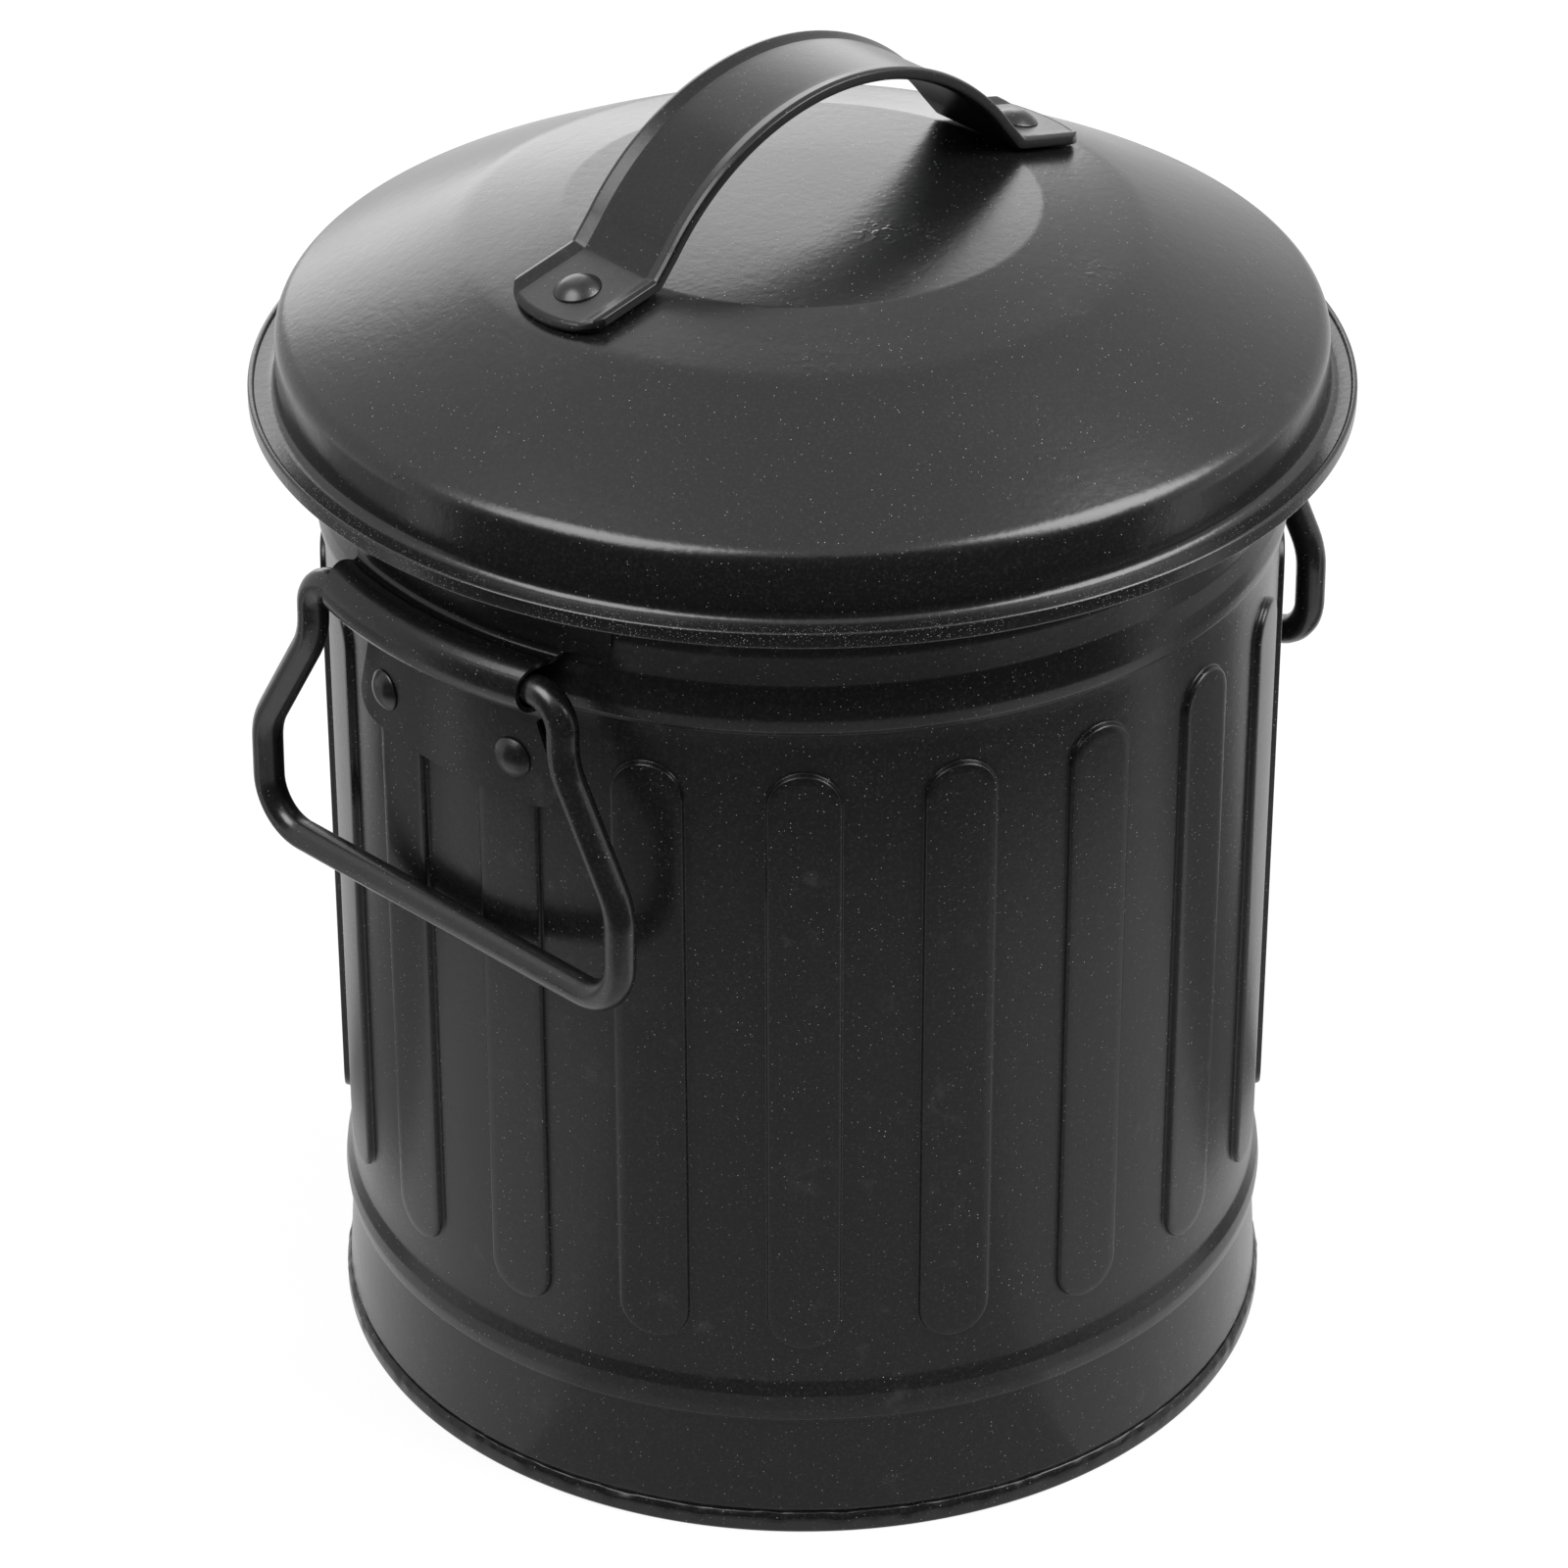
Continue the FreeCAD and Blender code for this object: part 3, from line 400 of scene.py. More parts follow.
# how far in from the rib's outline, and how far out of the wall
SHOULDER = ((-0.30, 0.0), (0.0, 0.0), (0.12, 0.03), (0.22, 0.13), (0.29, 0.32), (0.36, 0.58),
            (0.46, 0.80), (0.62, 0.94), (0.86, 1.0), (2.0, 1.0), (3.2, 1.0), (4.4, 1.0),
            (5.6, 1.0))
BETWEEN = (0.3, 0.6, 0.85)    # rings between the label's border and the rib


def slot_ring(inset, height):
    """A ring round the rib, a little way in from its outline."""
    radius = RIB_HALF - inset
    high, low = RIB_HIGH - RIB_HALF, RIB_LOW + RIB_HALF
    ring = []
    for middle, far, first, side in ((high, low, 0, -radius), (low, high, 180, radius)):
        for piece in range(END_PIECES + 1):
            angle = math.radians(first + 180 * piece / END_PIECES)
            ring.append(Vector((radius * math.cos(angle),
                                middle + radius * math.sin(angle), height)))
        for piece in range(1, SIDE_PIECES):
            ring.append(Vector((side, middle + (far - middle) * piece / SIDE_PIECES, height)))
    return ring


def border_ring():
    """The same number of points round the border of the label."""
    ring = []
    for sign, start, end in ((1, BAND_HIGH, BAND_LOW), (-1, BAND_LOW, BAND_HIGH)):
        for piece in range(END_PIECES + 1):
            ring.append(Vector((sign * LABEL_HALF * (1 - 2 * piece / END_PIECES), start, 0)))
        for piece in range(1, SIDE_PIECES):
            ring.append(Vector((-sign * LABEL_HALF,
                                start + (end - start) * piece / SIDE_PIECES, 0)))
    return ring


def flat_rib_label():
    """One rib and the strip of wall round it, lying flat: x along the wall,
    y up the wall, z out of it, all in millimetres."""
    label = bmesh.new()
    border, first = border_ring(), slot_ring(*SHOULDER[0])
    rings = [border]
    rings += [[a.lerp(b, share) for a, b in zip(border, first)] for share in BETWEEN]
    rings += [slot_ring(*step) for step in SHOULDER]
    edges = vertex_ring(label, border)
    for before, after in zip(rings, rings[1:]):
        edges, copies = pull_ring(label, edges)
        for vert in copies:
            nearest = min(range(len(before)), key=lambda i: (before[i] - vert.co).length)
            vert.co = after[nearest]
    bmesh.ops.contextual_create(label, geom=edges)
    return label


# %% Bend the rib round the can and add beads, neck and curl
CAN_LOW = [(WALL, 0.9), (WALL, 1.6, 0.3), (80.25, 4.4, 1.5), (79.15, 22.0, 0.3),
           (80.05, 22.8, 1.0), (80.32, 25.2, 3.0), (80.05, 27.5, 1.8), (WALL, 30.2, 2.2),
           (WALL, BAND_LOW)]
CAN_HIGH = [(WALL, BAND_HIGH), (WALL, 153.4, 0.3), (80.02, 154.3, 1.1), (80.32, 156.6, 3.0),
            (79.95, 159.2, 2.0), (WALL, 161.9, 1.6), (79.75, 167.6, 5.0), (WALL, 175.0, 6.0),
            (WALL, 184.0), (WALL, 186.4)]
CURL_MIDDLE = Vector((81.2, 186.4))
CURL_BORE = 2.1
CURL_ANGLES = range(165, -135, -15)    # over the top and down outside, in degrees


def build_can():
    can = flat_rib_label()
    for vert in can.verts:
        turn = vert.co.x / WALL + math.radians(RIB_TURN / 2)
        reach = (WALL + vert.co.z) * MM
        vert.co = (reach * math.cos(turn), reach * math.sin(turn), vert.co.y * MM)
    bmesh.ops.spin(can, geom=can.verts[:] + can.edges[:] + can.faces[:],
                   angle=math.tau - math.radians(RIB_TURN),
                   steps=round(360 / RIB_TURN) - 1, use_duplicate=True, **AXIS)
    spin_outline(can, rounded(CAN_LOW))
    curl = [CURL_MIDDLE + CURL_BORE * Vector((math.cos(a), math.sin(a)))
            for a in map(math.radians, CURL_ANGLES)]
    spin_outline(can, rounded(CAN_HIGH) + curl)
    face_outwards(can)
    low_face = min(can.faces, key=lambda f: f.calc_center_median().z)
    centre = low_face.calc_center_median()
    if low_face.normal.dot(Vector((centre.x, centre.y, 0))) < 0:
        bmesh.ops.reverse_faces(can, faces=can.faces)
    open_edges = sum(edge.is_boundary for edge in can.edges)
    print("open edges of the wall, two rings expected:", open_edges / TURNS)
    return make_piece("can_wall", can, "can", "body_shell", CAN_PAINT)


give_thickness(build_can(), SHEET, -1.0)

# %% [markdown]
# ## The base and its folded hem
#
# The floor of the can is a disc whose edge is folded down and clamped round the
# foot of the wall. On the real bin the fold isn't clean: paint has gathered in
# the joint and dried in small drips, so its upper edge is uneven. A slow noise
# with a fast one on top moves that edge up and down by a fraction of a
# millimetre. It is turned in twice as many steps as the can, to have room for
# the drips.

# %% Base pan
BASE = [(0, 3.0), (77.7, 3.0, 0.5), (77.7, 0.0, 0.25),             # under the floor
        (81.0, 0.0, 0.7), (81.0, 2.7, 0.9), (80.35, 3.75, 0.4),    # outside of the hem
        (79.25, 3.75, 0.1), (79.25, 0.75, 0.1), (78.3, 0.75, 0.1),    # slot for the wall
        (78.3, 3.6, 0.3), (0, 3.6)]                                # top of the floor
DRIPS_ABOVE, DRIPS_BEYOND = 2.6, 79.0    # the hem's upper edge: height and radius


def build_base():
    base = bmesh.new()
    spin_outline(base, rounded(BASE, turn_step=20.0), 2 * TURNS)
    face_outwards(base)
    for vert in base.verts:
        reach = math.hypot(vert.co.x, vert.co.y)
        if vert.co.z > DRIPS_ABOVE * MM and reach > DRIPS_BEYOND * MM:
            slow = noise.noise(vert.co * 55.0)
            fast = noise.noise(vert.co * 420.0)
            vert.co.z += (0.12 * slow + 0.26 * fast) * MM
            push = 1 + (0.15 * fast) * MM / reach
            vert.co.x *= push
            vert.co.y *= push
    make_piece("can_base", base, "can", "base_pan", CAN_PAINT)


build_base()

# %% [markdown]
# ## The lid
#
# One pressing: a flat, slightly crowned top, a soft crease, a sloping band where
# the strap's feet sit, a cone, a tight shoulder, a short wall, a flange and a
# turned lip. The same sheet comes back underneath, half a millimetre lower. A
# lid like this is never perfectly round, so a very small wave goes round the
# cone.

# %% Lid pressing
LID = [(0, 207.91), (20.0, 207.60, 260.0), (38.6, 206.71, 5.0), (46.9, 204.72, 40.0),
       (55.2, 202.86, 16.0), (69.7, 195.98, 500.0), (85.8, 187.87, 4.1),
       (85.8, 177.21, 1.7), (89.45, 177.21, 0.12), (89.62, 177.74, 0.45),    # flange
       (90.49, 177.74, 0.5), (90.49, 174.97, 0.5), (89.5, 174.97, 0.5),      # lip
       (89.5, 176.71, 0.2), (85.3, 176.71, 2.2), (85.3, 187.55, 3.6),        # underside
       (69.5, 195.43, 500.0), (55.1, 202.36, 16.0), (46.8, 204.22, 40.0),
       (38.5, 206.21, 5.0), (20.0, 207.10, 260.0), (0, 207.41)]
LID_TURN = math.radians(-3.2)    # the strap isn't quite in line with the bails
CONE_FROM, CONE_TO = 40.0, 84.0
WAVE, WAVES = 0.10, 26.0    # height in millimetres, and how many in a metre


def build_lid():
    lid = bmesh.new()
    spin_outline(lid, rounded(LID, turn_step=10.0, longest=2.6))
    face_outwards(lid)
    for vert in lid.verts:
        reach = math.hypot(vert.co.x, vert.co.y) / MM
        if CONE_FROM < reach < CONE_TO:
            wave = noise.noise(Vector((vert.co.x * WAVES, vert.co.y * WAVES, 4.0)))
            share = (reach - CONE_FROM) / (CONE_TO - CONE_FROM)
            vert.co.z += WAVE * MM * wave * math.sin(math.pi * share)
    make_piece("lid_dish", lid, "lid", "lid_shell", LID_PAINT)


build_lid()

# %% [markdown]
# ## Strips that follow a line
#
# The strap and the brackets are flat strips, bent. It is easiest to make the
# strip flat, with enough cross cuts, and then lay it along its line: a point at
# distance s along the strip goes to that place on the line, and its height goes
# along the line's normal there.

# %% A line that can be measured
class Line:
    """A rounded line in a plane, which gives a place and a normal at any
    distance along it."""

    def __init__(self, corners, **detail):
        self.points = rounded(corners, **detail)
        self.marks = [0.0]
        for a, b in zip(self.points, self.points[1:]):
            self.marks.append(self.marks[-1] + (b - a).length)
        self.length = self.marks[-1]

    def at(self, distance):
        distance = min(max(distance, 0.0), self.length)
        index = 0
        while index < len(self.marks) - 2 and self.marks[index + 1] < distance:
            index += 1
        span = self.marks[index + 1] - self.marks[index]
        share = (distance - self.marks[index]) / span
        blend = self.direction(index)
        # near a corner the direction turns slowly into the next run's
        if share < 0.5 and index > 0:
            blend = blend.lerp(self.direction(index - 1), 0.5 - share)
        elif share >= 0.5 and index < len(self.points) - 2:
            blend = blend.lerp(self.direction(index + 1), share - 0.5)
        blend.normalize()
        place = self.points[index].lerp(self.points[index + 1], share)
        return place, Vector((-blend.y, blend.x))

    def direction(self, index):
        return (self.points[index + 1] - self.points[index]).normalized()


# %% [markdown]
# ## The strap handle
#
# A strip of sheet with its long edges rolled up a little, bent to an arch, with
# two feet that follow the sloping band of the lid. The rolled edges lean
# inwards, so each shows as a strip of another grey in the photograph. The
# cross-section is drawn once and pulled out along the strip. The tips are then
# cut back to a round, and their lower edge gets the dried drips of paint.

# %% Strap: its sizes
STRAP_HALF = 10.4
STRAP_FACE = 1.70    # the upper face, above the line that the strap follows
SECTION = [(-7.4, STRAP_FACE, 0.5), (-9.5, 2.40, 0.35), (-STRAP_HALF, 2.15, 0.4),
           (-STRAP_HALF, 0.55, 0.5), (-9.2, 0.10, 0.4), (9.2, 0.10, 0.4),
           (STRAP_HALF, 0.55, 0.5), (STRAP_HALF, 2.15, 0.4), (9.5, 2.40, 0.35),
           (7.4, STRAP_FACE, 0.5)]
STRAP_CUTS = 180
FOOT_SLOPE = math.radians(13.06)
RIVET_SPOT = Vector((47.33, 206.62))
TO_TIP, TO_KNEE = 8.4, 8.6    # from the rivet, along the foot
STRAP_TOP, ARCH = 229.10, 43.1    # underside of the arch: its top and its radius
# how far the tip bulges, how round its corners are, and where that fades out
TIP_BULGE, TIP_CORNER, TIP_FADE = 2.6, 2.2, 12.0
# the tip's last ring closes to this part of its thickness, about this height
TIP_CLOSE, TIP_MIDDLE = 0.25, 0.7
DRIP_REACH, DRIP_BELOW, DRIP_DEPTH = 0.9, 0.8, 0.9


def strap_line():
    """The underside of the strap, from the left tip to the right one."""
    along = Vector((math.cos(FOOT_SLOPE), -math.sin(FOOT_SLOPE)))
    normal = Vector((math.sin(FOOT_SLOPE), math.cos(FOOT_SLOPE)))
    under = RIVET_SPOT - STRAP_FACE * normal
    tip, knee = under + along * TO_TIP, under - along * TO_KNEE
    arch = [(ARCH * math.cos(a), STRAP_TOP - ARCH + ARCH * math.sin(a))
            for a in map(math.radians, range(36, 146, 2))]
    ends = [(tip.x, tip.y), (knee.x, knee.y, 3.0)]
    mirrored = [(-corner[0], *corner[1:]) for corner in reversed(ends)]
    return Line((ends + arch + mirrored)[::-1], turn_step=7.0)


def spaced(points, longest):
    """The same closed outline with extra points on its long straight runs."""
    dense = []
    for here, ahead in zip(points, points[1:] + points[:1]):
        pieces = max(1, math.ceil((ahead - here).length / longest))
        dense += [here.lerp(ahead, piece / pieces) for piece in range(pieces)]
    return dense


# %% Strap: pull it out, round its tips and bend it
def straight_strap(length):
    """The strap before it is bent: x along it, y across and z up."""
    outline = spaced(rounded(SECTION, closed=True, turn_step=14.0), 1.2)
    strap = bmesh.new()
    ring = vertex_ring(strap, [(0, p.x, p.y) for p in outline])
    bmesh.ops.contextual_create(strap, geom=ring)
    for cut in range(STRAP_CUTS):
        ring, ends = pull_ring(strap, ring)
        bmesh.ops.translate(strap, verts=ends, vec=(length / STRAP_CUTS, 0, 0))
    bmesh.ops.contextual_create(strap, geom=ring)
    return strap


def round_tip(length, distance, across, height):
    """Where a point of the straight strap goes when its tips are cut and dripped."""
    from_tip = min(distance, length - distance)
    if from_tip < TIP_FADE:
        share = min(abs(across) / STRAP_HALF, 1.0)
        cut = TIP_BULGE * share ** 2 + TIP_CORNER * (1 - math.sqrt(1 - share ** 6))
        pull = cut * (1 - from_tip / TIP_FADE)
        distance += pull if distance < length / 2 else -pull
    if from_tip < 0.01:
        height = TIP_MIDDLE + (height - TIP_MIDDLE) * TIP_CLOSE
    if from_tip < DRIP_REACH and height < DRIP_BELOW:
        drip = noise.noise(Vector((across * 0.75, distance * 0.1, 7)))
        height -= DRIP_DEPTH * max(0.0, drip)
    return distance, height


def build_strap():
    line = strap_line()
    strap = straight_strap(line.length)
    turn = Matrix.Rotation(LID_TURN, 3, "Z")
    for vert in strap.verts:
        across = vert.co.y
        distance, height = round_tip(line.length, *vert.co)
        place, normal = line.at(distance)
        place = place + normal * height
        vert.co = turn @ Vector((place.x, across, place.y)) * MM
    face_outwards(strap)
    make_piece("lid_strap", strap, "lid", "lid_handle", STRAP_PAINT)


build_strap()

# %% [markdown]
# ## Side brackets
#
# Each bracket is one strip, wider than it is tall. Its upper flange lies on the
# can's neck, its middle is rolled outwards into a half-round loop that holds the
# wire, and its lower plate lies over the ribs under two rivets. A grid stands
# for the sheet. Each row of the grid lies at one distance down the profile, and
# is as wide as the blank is there, which gives the rounded corners and the
# waist. The rows are then laid on the can's round.

# %% Bracket: its profile and its blank
BRACKET_SHEET = 0.8
BRACKET_TOP, BRACKET_STEP, BRACKET_FOOT = 183.2, 164.2, 134.8
ON_NECK, ON_RIBS = 79.8, 80.55    # radius of the flange and of the plate
LOOP = Vector((83.9, 158.8))
LOOP_BEND, UPPER_BEND, LOWER_BEND = 4.0, 1.6, 3.6
BLANK_SIDE = rounded([  # half-width and height of the blank's edge, going down
    (31.6, 184.0), (31.6, BRACKET_STEP, 2.0), (22.4, BRACKET_STEP, 3.7), (22.4, 152.6, 0.7),
    (19.4, 150.4, 0.8), (23.2, 138.8, 3.0), (23.2, BRACKET_FOOT, 3.9), (10.0, BRACKET_FOOT)])


def arc(centre, radius, first, last):
    """Points on an arc, at most 7 degrees apart."""
    count = math.ceil(abs(last - first) / 7)
    angles = [math.radians(first + (last - first) * i / count) for i in range(count + 1)]
    return [(centre[0] + radius * math.cos(a), centre[1] + radius * math.sin(a))
            for a in angles]


def bracket_line():
    """The middle of the bracket's sheet, from its top edge to its lower edge."""
    reach = LOOP_BEND + UPPER_BEND
    up_angle = math.degrees(math.acos((ON_NECK + UPPER_BEND - LOOP.x) / reach))
    up_centre = (ON_NECK + UPPER_BEND, LOOP.y + reach * math.sin(math.radians(up_angle)))
    reach = LOOP_BEND + LOWER_BEND
    low_angle = math.degrees(math.acos((ON_RIBS + LOWER_BEND - LOOP.x) / reach))
    low_centre = (ON_RIBS + LOWER_BEND, LOOP.y - reach * math.sin(math.radians(low_angle)))
    points = [(ON_NECK, BRACKET_TOP)]
    points += arc(up_centre, UPPER_BEND, 180, 180 + up_angle)
    points += arc(LOOP, LOOP_BEND, up_angle, -low_angle)[1:]
    points += arc(low_centre, LOWER_BEND, 180 - low_angle, 180)[1:]
    points.append((ON_RIBS, BRACKET_FOOT))
    return Line(points)


def half_width(height):
    """How far the blank reaches to each side at a height on the can."""
    for above, below in zip(BLANK_SIDE, BLANK_SIDE[1:]):
        if above.y >= height > below.y:
            share = (above.y - height) / (above.y - below.y)
            return above.x + (below.x - above.x) * share
    return BLANK_SIDE[-2].x


# %% Bracket: lay a grid along the profile
ROW, COLUMNS = 0.45, 28
BY_THE_STEP = (0.2, 0.02, -0.02, -0.2)    # rows close to where the blank gets narrow
EDGE = 0.22


def grid_rows(line):
    """Distances down the profile: even ones, its own points and the step's."""
    even = {round(ROW * row, 3) for row in range(int(line.length / ROW) + 1)}
    bends = {round(mark, 3) for mark in line.marks}
    step = {round(BRACKET_TOP - BRACKET_STEP - above, 3) for above in BY_THE_STEP}
    return sorted(even | bends | step)


def build_bracket(name, node, side):
    line = bracket_line()
    rows = grid_rows(line)
    blank = bmesh.new()
    bmesh.ops.create_grid(blank, x_segments=COLUMNS, y_segments=len(rows) - 1, size=1.0)
    for vert in blank.verts:
        distance = rows[round((1 - vert.co.y) / 2 * (len(rows) - 1))]
        place, _ = line.at(distance)
        across = vert.co.x * half_width(place.y)
        vert.co = Vector((side * math.sqrt(place.x ** 2 - across ** 2), side * across,
                          place.y)) * MM
    face_outwards(blank)
    plate = min(blank.faces, key=lambda f: f.calc_center_median().z)
    if plate.normal.x * side < 0:
        bmesh.ops.reverse_faces(blank, faces=blank.faces)
    piece = make_piece(name, blank, "can", node, CAN_PAINT)
    give_thickness(piece, BRACKET_SHEET, 0.0)
    edge = piece.modifiers.new("edge", "BEVEL")
    edge.width = EDGE * MM
    edge.segments = 2
    edge.limit_method = "ANGLE"
    edge.angle_limit = math.radians(50)
    edge.harden_normals = True


build_bracket("left_clip", "left_bracket", -1)
build_bracket("right_clip", "right_bracket", 1)

# %% [markdown]
# ## Wire bails
#
# Each side handle is one bent wire. A curve with a round section is the natural
# way to make wire: its line is rounded at every bend, and the ends are closed.
# The curve is turned into a mesh in its place, so that the paint's pattern sits
# still on it. The bail hangs a little outwards, just clear of the ribs.

# %% Bails
WIRE = 2.58
HINGE_RADIUS, GRIP_RADIUS, GRIP_DROP = 81.736, 82.55, 50.2
HINGE = Vector((HINGE_RADIUS, 0, 158.8))
HANG = math.asin((GRIP_RADIUS - HINGE_RADIUS) / GRIP_DROP)
# half of the wire's line: across, height from the hinge, and bend radius
BAIL = [(15.0, 0), (29.2, 0, 5.2), (29.2, -10.8, 12.0), (41.8, -31.8, 12.0),
        (41.8, -GRIP_DROP, 8.4)]
WIRE_END = 0.5


def round_wire(name, points):
    """A bmesh of round wire along points in the y-z plane."""
    curve = bpy.data.curves.new(name, "CURVE")
    curve.dimensions = "3D"
    curve.bevel_depth = WIRE * MM
    curve.bevel_resolution = 6
    curve.use_fill_caps = True
    run = curve.splines.new("POLY")
    run.points.add(len(points) - 1)
    for knot, point in zip(run.points, points):
        knot.co = (0, point.x * MM, point.y * MM, 1)
    template = bpy.data.objects.new(name + "_line", curve)
    bpy.context.scene.collection.objects.link(template)
    solid = bpy.data.meshes.new_from_object(template)
    bpy.data.objects.remove(template)
    wire = bmesh.new()
    wire.from_mesh(solid)
    bpy.data.meshes.remove(solid)
    return wire


def build_bail(name, node, side):
    corners = BAIL + [(-corner[0], *corner[1:]) for corner in reversed(BAIL)]
    wire = round_wire(name, rounded(corners, turn_step=7.0, longest=1.5))
    place = (Matrix.Rotation(0.0 if side > 0 else math.pi, 4, "Z")
             @ Matrix.Translation(HINGE * MM) @ Matrix.Rotation(-HANG, 4, "Y"))
    bmesh.ops.transform(wire, matrix=place, verts=wire.verts)
    face_outwards(wire)
    ends = [edge for edge in wire.edges if edge.calc_face_angle(0) > math.radians(60)]
    bmesh.ops.bevel(wire, geom=ends, offset=WIRE_END * MM, affect="EDGES", segments=3,
                    profile=0.5, material=-1)
    make_piece(name, wire, node, node, WIRE_PAINT)


build_bail("left_wire", "left_bail", -1)
build_bail("right_wire", "right_bail", 1)

# %% [markdown]
# ## Rivets
#
# Four rivets hold the brackets and two hold the strap. A rivet's head is a low
# dome with a thin upright edge, and the paint fills the corner under it. The
# outline is turned about the rivet's own axis and then set in place. The tail on
# the far side of the sheet is turned with it.

# %% Rivets
# radius of head, shank and tail, height of the dome, and the sheets' thickness
SIDE_RIVET = {"grip": 1.65, "head": 3.35, "dome": 1.6, "shank": 1.6, "tail": 2.5}
STRAP_RIVET = {"grip": 2.65, "head": 3.75, "dome": 1.75, "shank": 1.8, "tail": 3.0}
SIDE_SPOT = Vector((81.0, 0, 142.4))
SIDE_SWING = math.radians(10.65)    # from the middle of the bracket to each rivet
FILLET = 0.22


def build_rivet(name, body, node, place, grip, head, dome, shank, tail):
    outline = [(0, dome), (head * 0.55, dome * 0.93, head * 1.2), (head, 0.30, 0.30),
               (head + FILLET, 0.0, 0.1), (shank, 0.0, 0.05), (shank, -grip, 0.05),
               (tail, -grip, 0.12), (tail, -grip - 0.6, 0.35), (tail * 0.7, -grip - 1.0, 0.3),
               (0, -grip - 1.0)]
    rivet = bmesh.new()
    spin_outline(rivet, rounded(outline, turn_step=14.0, longest=0.6), 40)
    face_outwards(rivet)
    bmesh.ops.transform(rivet, matrix=place, verts=rivet.verts)
    make_piece(name, rivet, body, node, RIVET_PAINT)


for side, side_turn, sense in (("left", math.pi, -1), ("right", 0.0, 1)):
    for row, sign in (("front", -1), ("back", 1)):
        place = (Matrix.Rotation(side_turn + SIDE_SWING * sign * sense, 4, "Z")
                 @ Matrix.Translation(SIDE_SPOT * MM) @ Matrix.Rotation(math.pi / 2, 4, "Y"))
        build_rivet(f"{side}_stud_{row}", "can", f"{side}_rivet_{row}", place, **SIDE_RIVET)
    place = (Matrix.Rotation(side_turn + LID_TURN, 4, "Z")
             @ Matrix.Translation(Vector((RIVET_SPOT.x, 0, RIVET_SPOT.y)) * MM)
             @ Matrix.Rotation(FOOT_SLOPE, 4, "Y"))
    build_rivet(f"strap_stud_{side}", "lid", f"lid_rivet_{side}", place, **STRAP_RIVET)

# %% [markdown]
# ## Floor and world
#
# The bin stands on a white sweep. The sky is white to the camera and in
# reflections, where it is the background, and gives a weaker, even light. The
# floor glows white to the same rays. A share of it stays plain and lit, and there
# the bin's soft shadow shows.

# %% Floor and world
SEEN_WHITE = 0.86


def background_ray(paint):
    """1 for rays that show the background: camera, mirror and glass rays."""
    camera_ray, glossy_ray, glass_ray = (
        paint.node("ShaderNodeLightPath", output=kind)
        for kind in ("Is Camera Ray", "Is Glossy Ray", "Is Transmission Ray"))
    return paint.node("ShaderNodeClamp", None, {0: camera_ray + glossy_ray + glass_ray})


def build_floor():
    floor = bmesh.new()
    bmesh.ops.create_grid(floor, x_segments=1, y_segments=1, size=6.0)
    paint = Paint(bpy.data.materials.new("white_floor"))
    seen = background_ray(paint)
    lit = paint.node("ShaderNodeBsdfDiffuse", None, {"Color": (0.8, 0.8, 0.8, 1)})
    glow = paint.node("ShaderNodeEmission", None, {"Color": (1, 1, 1, 1), "Strength": 1.0})
    mixed = paint.node("ShaderNodeMixShader", None, {0: seen * SEEN_WHITE, 1: lit, 2: glow})
    make_object("floor", floor, paint.finish(mixed))


def build_world():
    sky = Paint(bpy.data.worlds.new("studio"))
    seen = background_ray(sky)
    light = sky.node("ShaderNodeBackground", None,
                     {"Color": (1, 1, 1, 1), "Strength": seen * 0.45 + 0.55})
    bpy.context.scene.world = sky.finish(light, "ShaderNodeOutputWorld")


build_floor()
build_world()
print("world", bpy.context.scene.world.name)

# %% [markdown]
# ## Soft lights
#
# A large soft light behind the bin gives the pale sheen on the top of the lid,
# and a small one above it carries that sheen towards the middle. Two stronger
# ones to the left and right of the camera draw the lines along the lid's shoulder
# and the ribs. Each is placed by angles as seen from the bin, because that is how
# a reflection is aimed. The strength is given for the light's surface, so a larger
# light isn't a duller one.

# %% Soft lights
VIEW_TURN = math.radians(-45.2)    # where the camera stands round the bin
AIM = Vector((0, 0, 0.12))


def studio_place(turn, lift, distance):
    """A place seen from the bin: turn from the camera's side, to the right."""
    angle = VIEW_TURN + math.radians(turn)
    lift = math.radians(lift)
    return Vector((distance * math.sin(angle) * math.cos(lift),
                   -distance * math.cos(angle) * math.cos(lift),
                   distance * math.sin(lift) + 0.1))


def face_towards(thing, place, target):
    """Puts a lamp or camera at a place and points it at a target."""
    turn = (target - place).to_track_quat("-Z", "Y").to_matrix().to_4x4()
    thing.matrix_world = Matrix.Translation(place) @ turn


def softbox(name, place, width, height, radiance):
    """A rectangle of even light that faces the bin."""
    lamp = bpy.data.lights.new(name, "AREA")
    lamp.shape = "RECTANGLE"
    lamp.size, lamp.size_y = width, height
    lamp.energy = math.pi * width * height * radiance
    box = bpy.data.objects.new(name, lamp)
    face_towards(box, place, AIM)
    box.visible_camera = False
    bpy.context.scene.collection.objects.link(box)
    print(name, "watts", round(lamp.energy, 1))


softbox("back_wall", studio_place(191, 20, 1.3), 1.0, 0.8, 2.3)
softbox("top_glow", studio_place(197, 48, 1.2), 0.6, 0.4, 0.8)
softbox("left_box", studio_place(-56, 54, 1.3), 0.8, 0.7, 9.0)
softbox("right_box", studio_place(78, 46, 1.3), 0.8, 0.8, 11.0)

# %% [markdown]
# ## What the paint reflects
#
# Black paint has almost no colour of its own: it shows the room. In an all-white
# scene it would look grey from every side. In a real studio the room behind the
# camera is dark, the table ends soon in front of the object, and its corners get
# less light. Sheets that only reflections see stand for these. Each is an outline
# that a spin turns part of the way round the bin.

# %% Sheets that only reflections see
TABLE, ROOM = 0.29, 1.6    # radius of the table's front and of the dark room


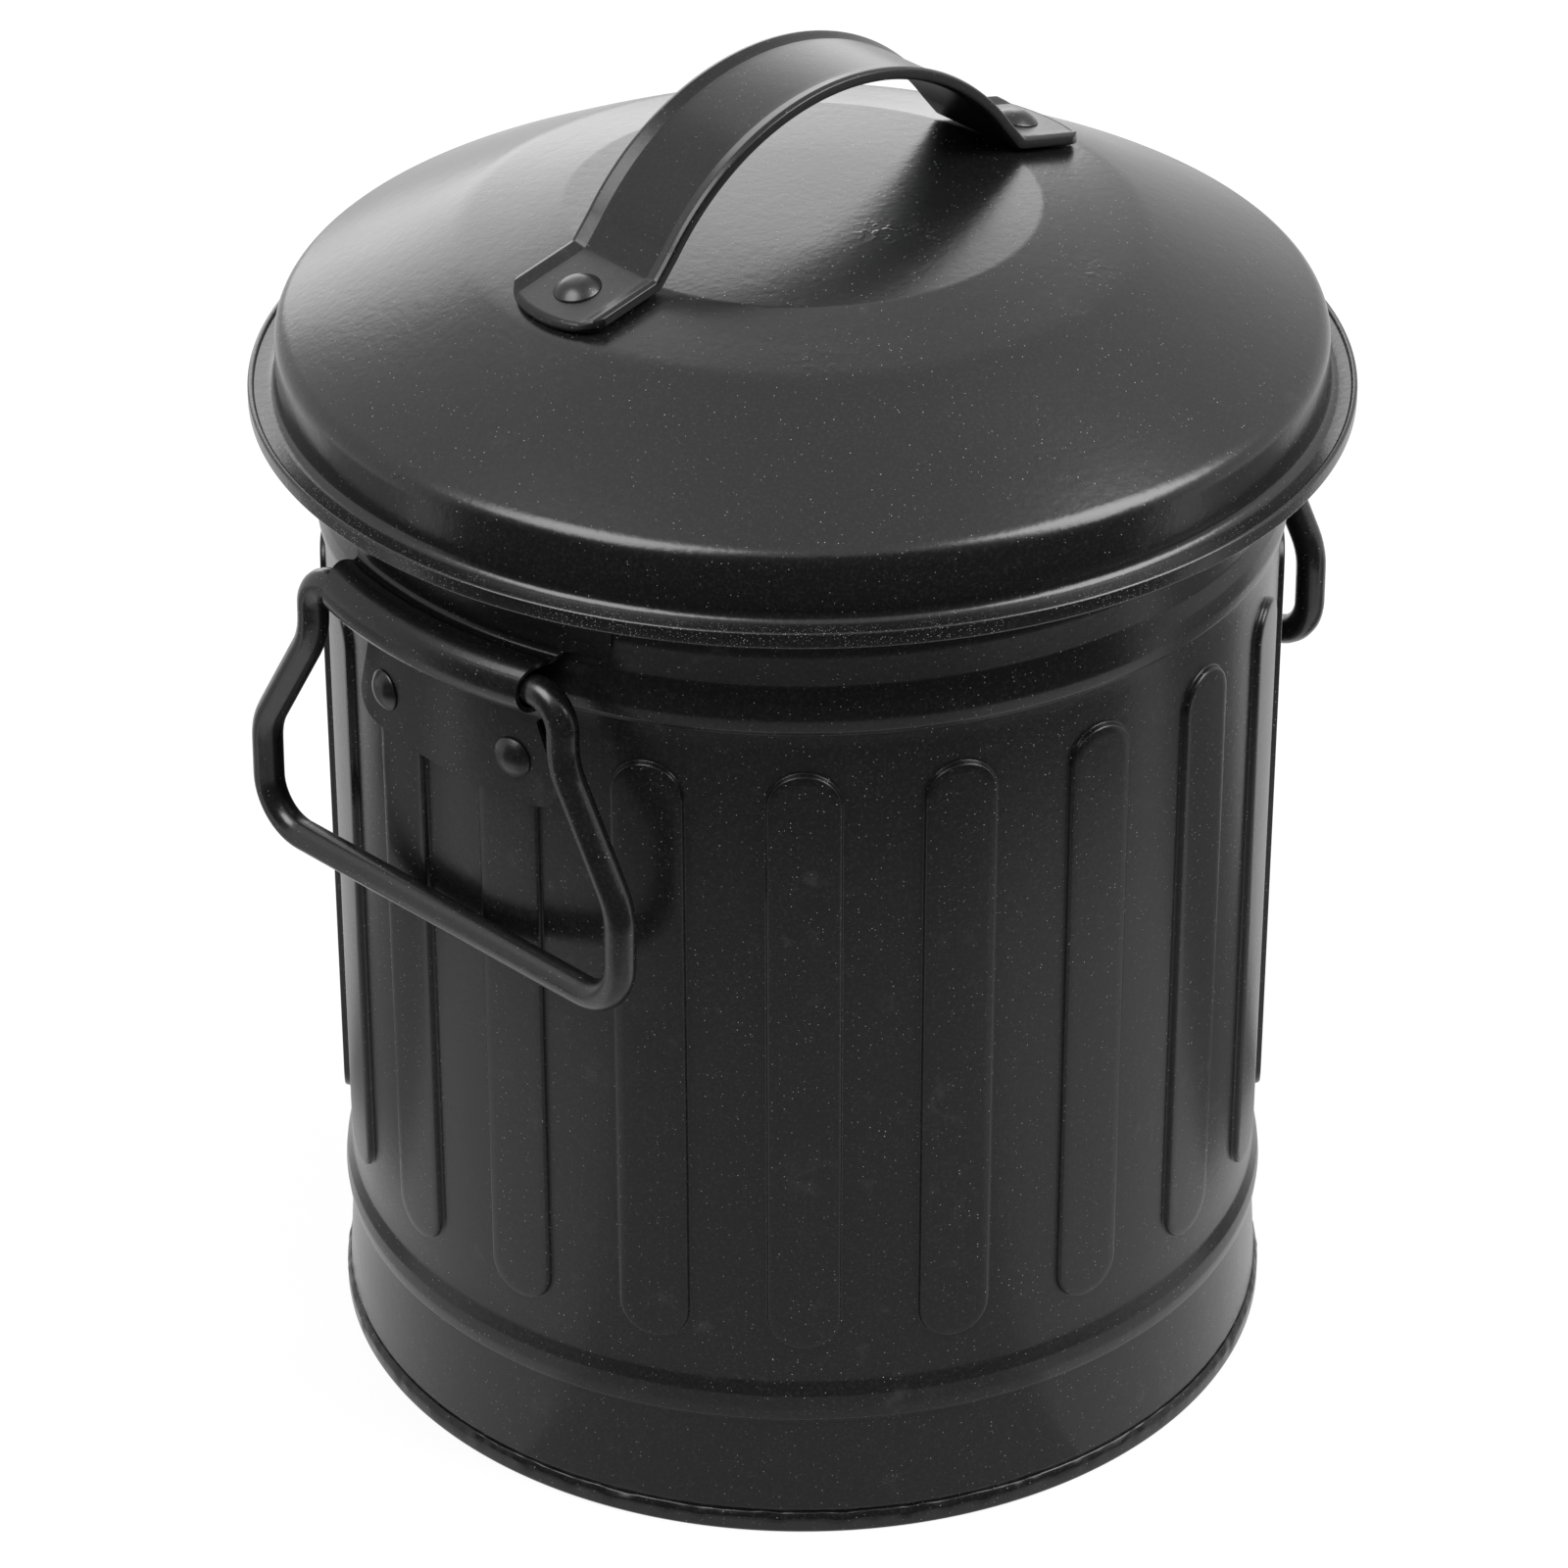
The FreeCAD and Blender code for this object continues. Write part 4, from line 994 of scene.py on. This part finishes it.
def reflected(name, first, last, outline, grey):
    """A turned sheet that only reflections see, from the first to the last turn
    from the camera's side. The outline is its radius and height in metres, and
    grey is how bright it looks."""
    sheet = bmesh.new()
    verts, edges = vertex_chain(sheet, [Vector(corner) / MM for corner in outline])
    bmesh.ops.rotate(sheet, verts=verts, cent=(0, 0, 0), matrix=Matrix.Rotation(
        VIEW_TURN + math.radians(first - 90), 3, "Z"))
    bmesh.ops.spin(sheet, geom=verts + edges, angle=math.radians(last - first), steps=30,
                   use_duplicate=False, **AXIS)
    paint = Paint(bpy.data.materials.new(name))
    glow = paint.node("ShaderNodeEmission", None, {"Color": (1, 1, 1, 1), "Strength": grey})
    shell = make_object(name, sheet, paint.finish(glow))
    shell.visible_camera = False
    shell.visible_diffuse = False
    shell.visible_shadow = False
    print(name, "from", first, "to", last, "degrees")


# the dark floor beyond the table and the dark wall, behind the camera
reflected("dark_room", -75, 75, ((TABLE, 0.002), (ROOM, 0.002), (ROOM, 1.9)), 0.06)
# the table's shaded front, and its two dim far corners
reflected("table_front", -38, 38, ((0.083, 0.001), (TABLE, 0.001)), 0.70)
reflected("left_corner", -114, -84, ((0.12, 0.001), (0.6, 0.001)), 0.40)
reflected("right_corner", 86, 116, ((0.12, 0.001), (0.6, 0.001)), 0.30)

# %% [markdown]
# ## Camera
#
# The camera looks down at the bin from in front of its left side, through a long
# lens from about a metre away. A small shift moves the picture in its frame
# without turning the camera, so upright lines keep their slant.

# %% Camera
PHOTO = 1600
LIFT = math.radians(30.59)
AWAY = 1.001
LOOK_AT = Vector((0, 0, 0.104))


def build_camera():
    lens = bpy.data.cameras.new("camera")
    lens.lens = 135.32
    lens.sensor_width = 36.0
    lens.shift_x = -18.84 / PHOTO
    lens.shift_y = -34.34 / PHOTO
    camera = bpy.data.objects.new("camera", lens)
    towards = Vector((math.sin(VIEW_TURN) * math.cos(LIFT),
                      -math.cos(VIEW_TURN) * math.cos(LIFT), math.sin(LIFT)))
    face_towards(camera, LOOK_AT + AWAY * towards, LOOK_AT)
    bpy.context.scene.collection.objects.link(camera)
    bpy.context.scene.camera = camera
    print("camera at", [round(v, 3) for v in camera.location])


build_camera()
bpy.context.scene.view_settings.view_transform = "Standard"
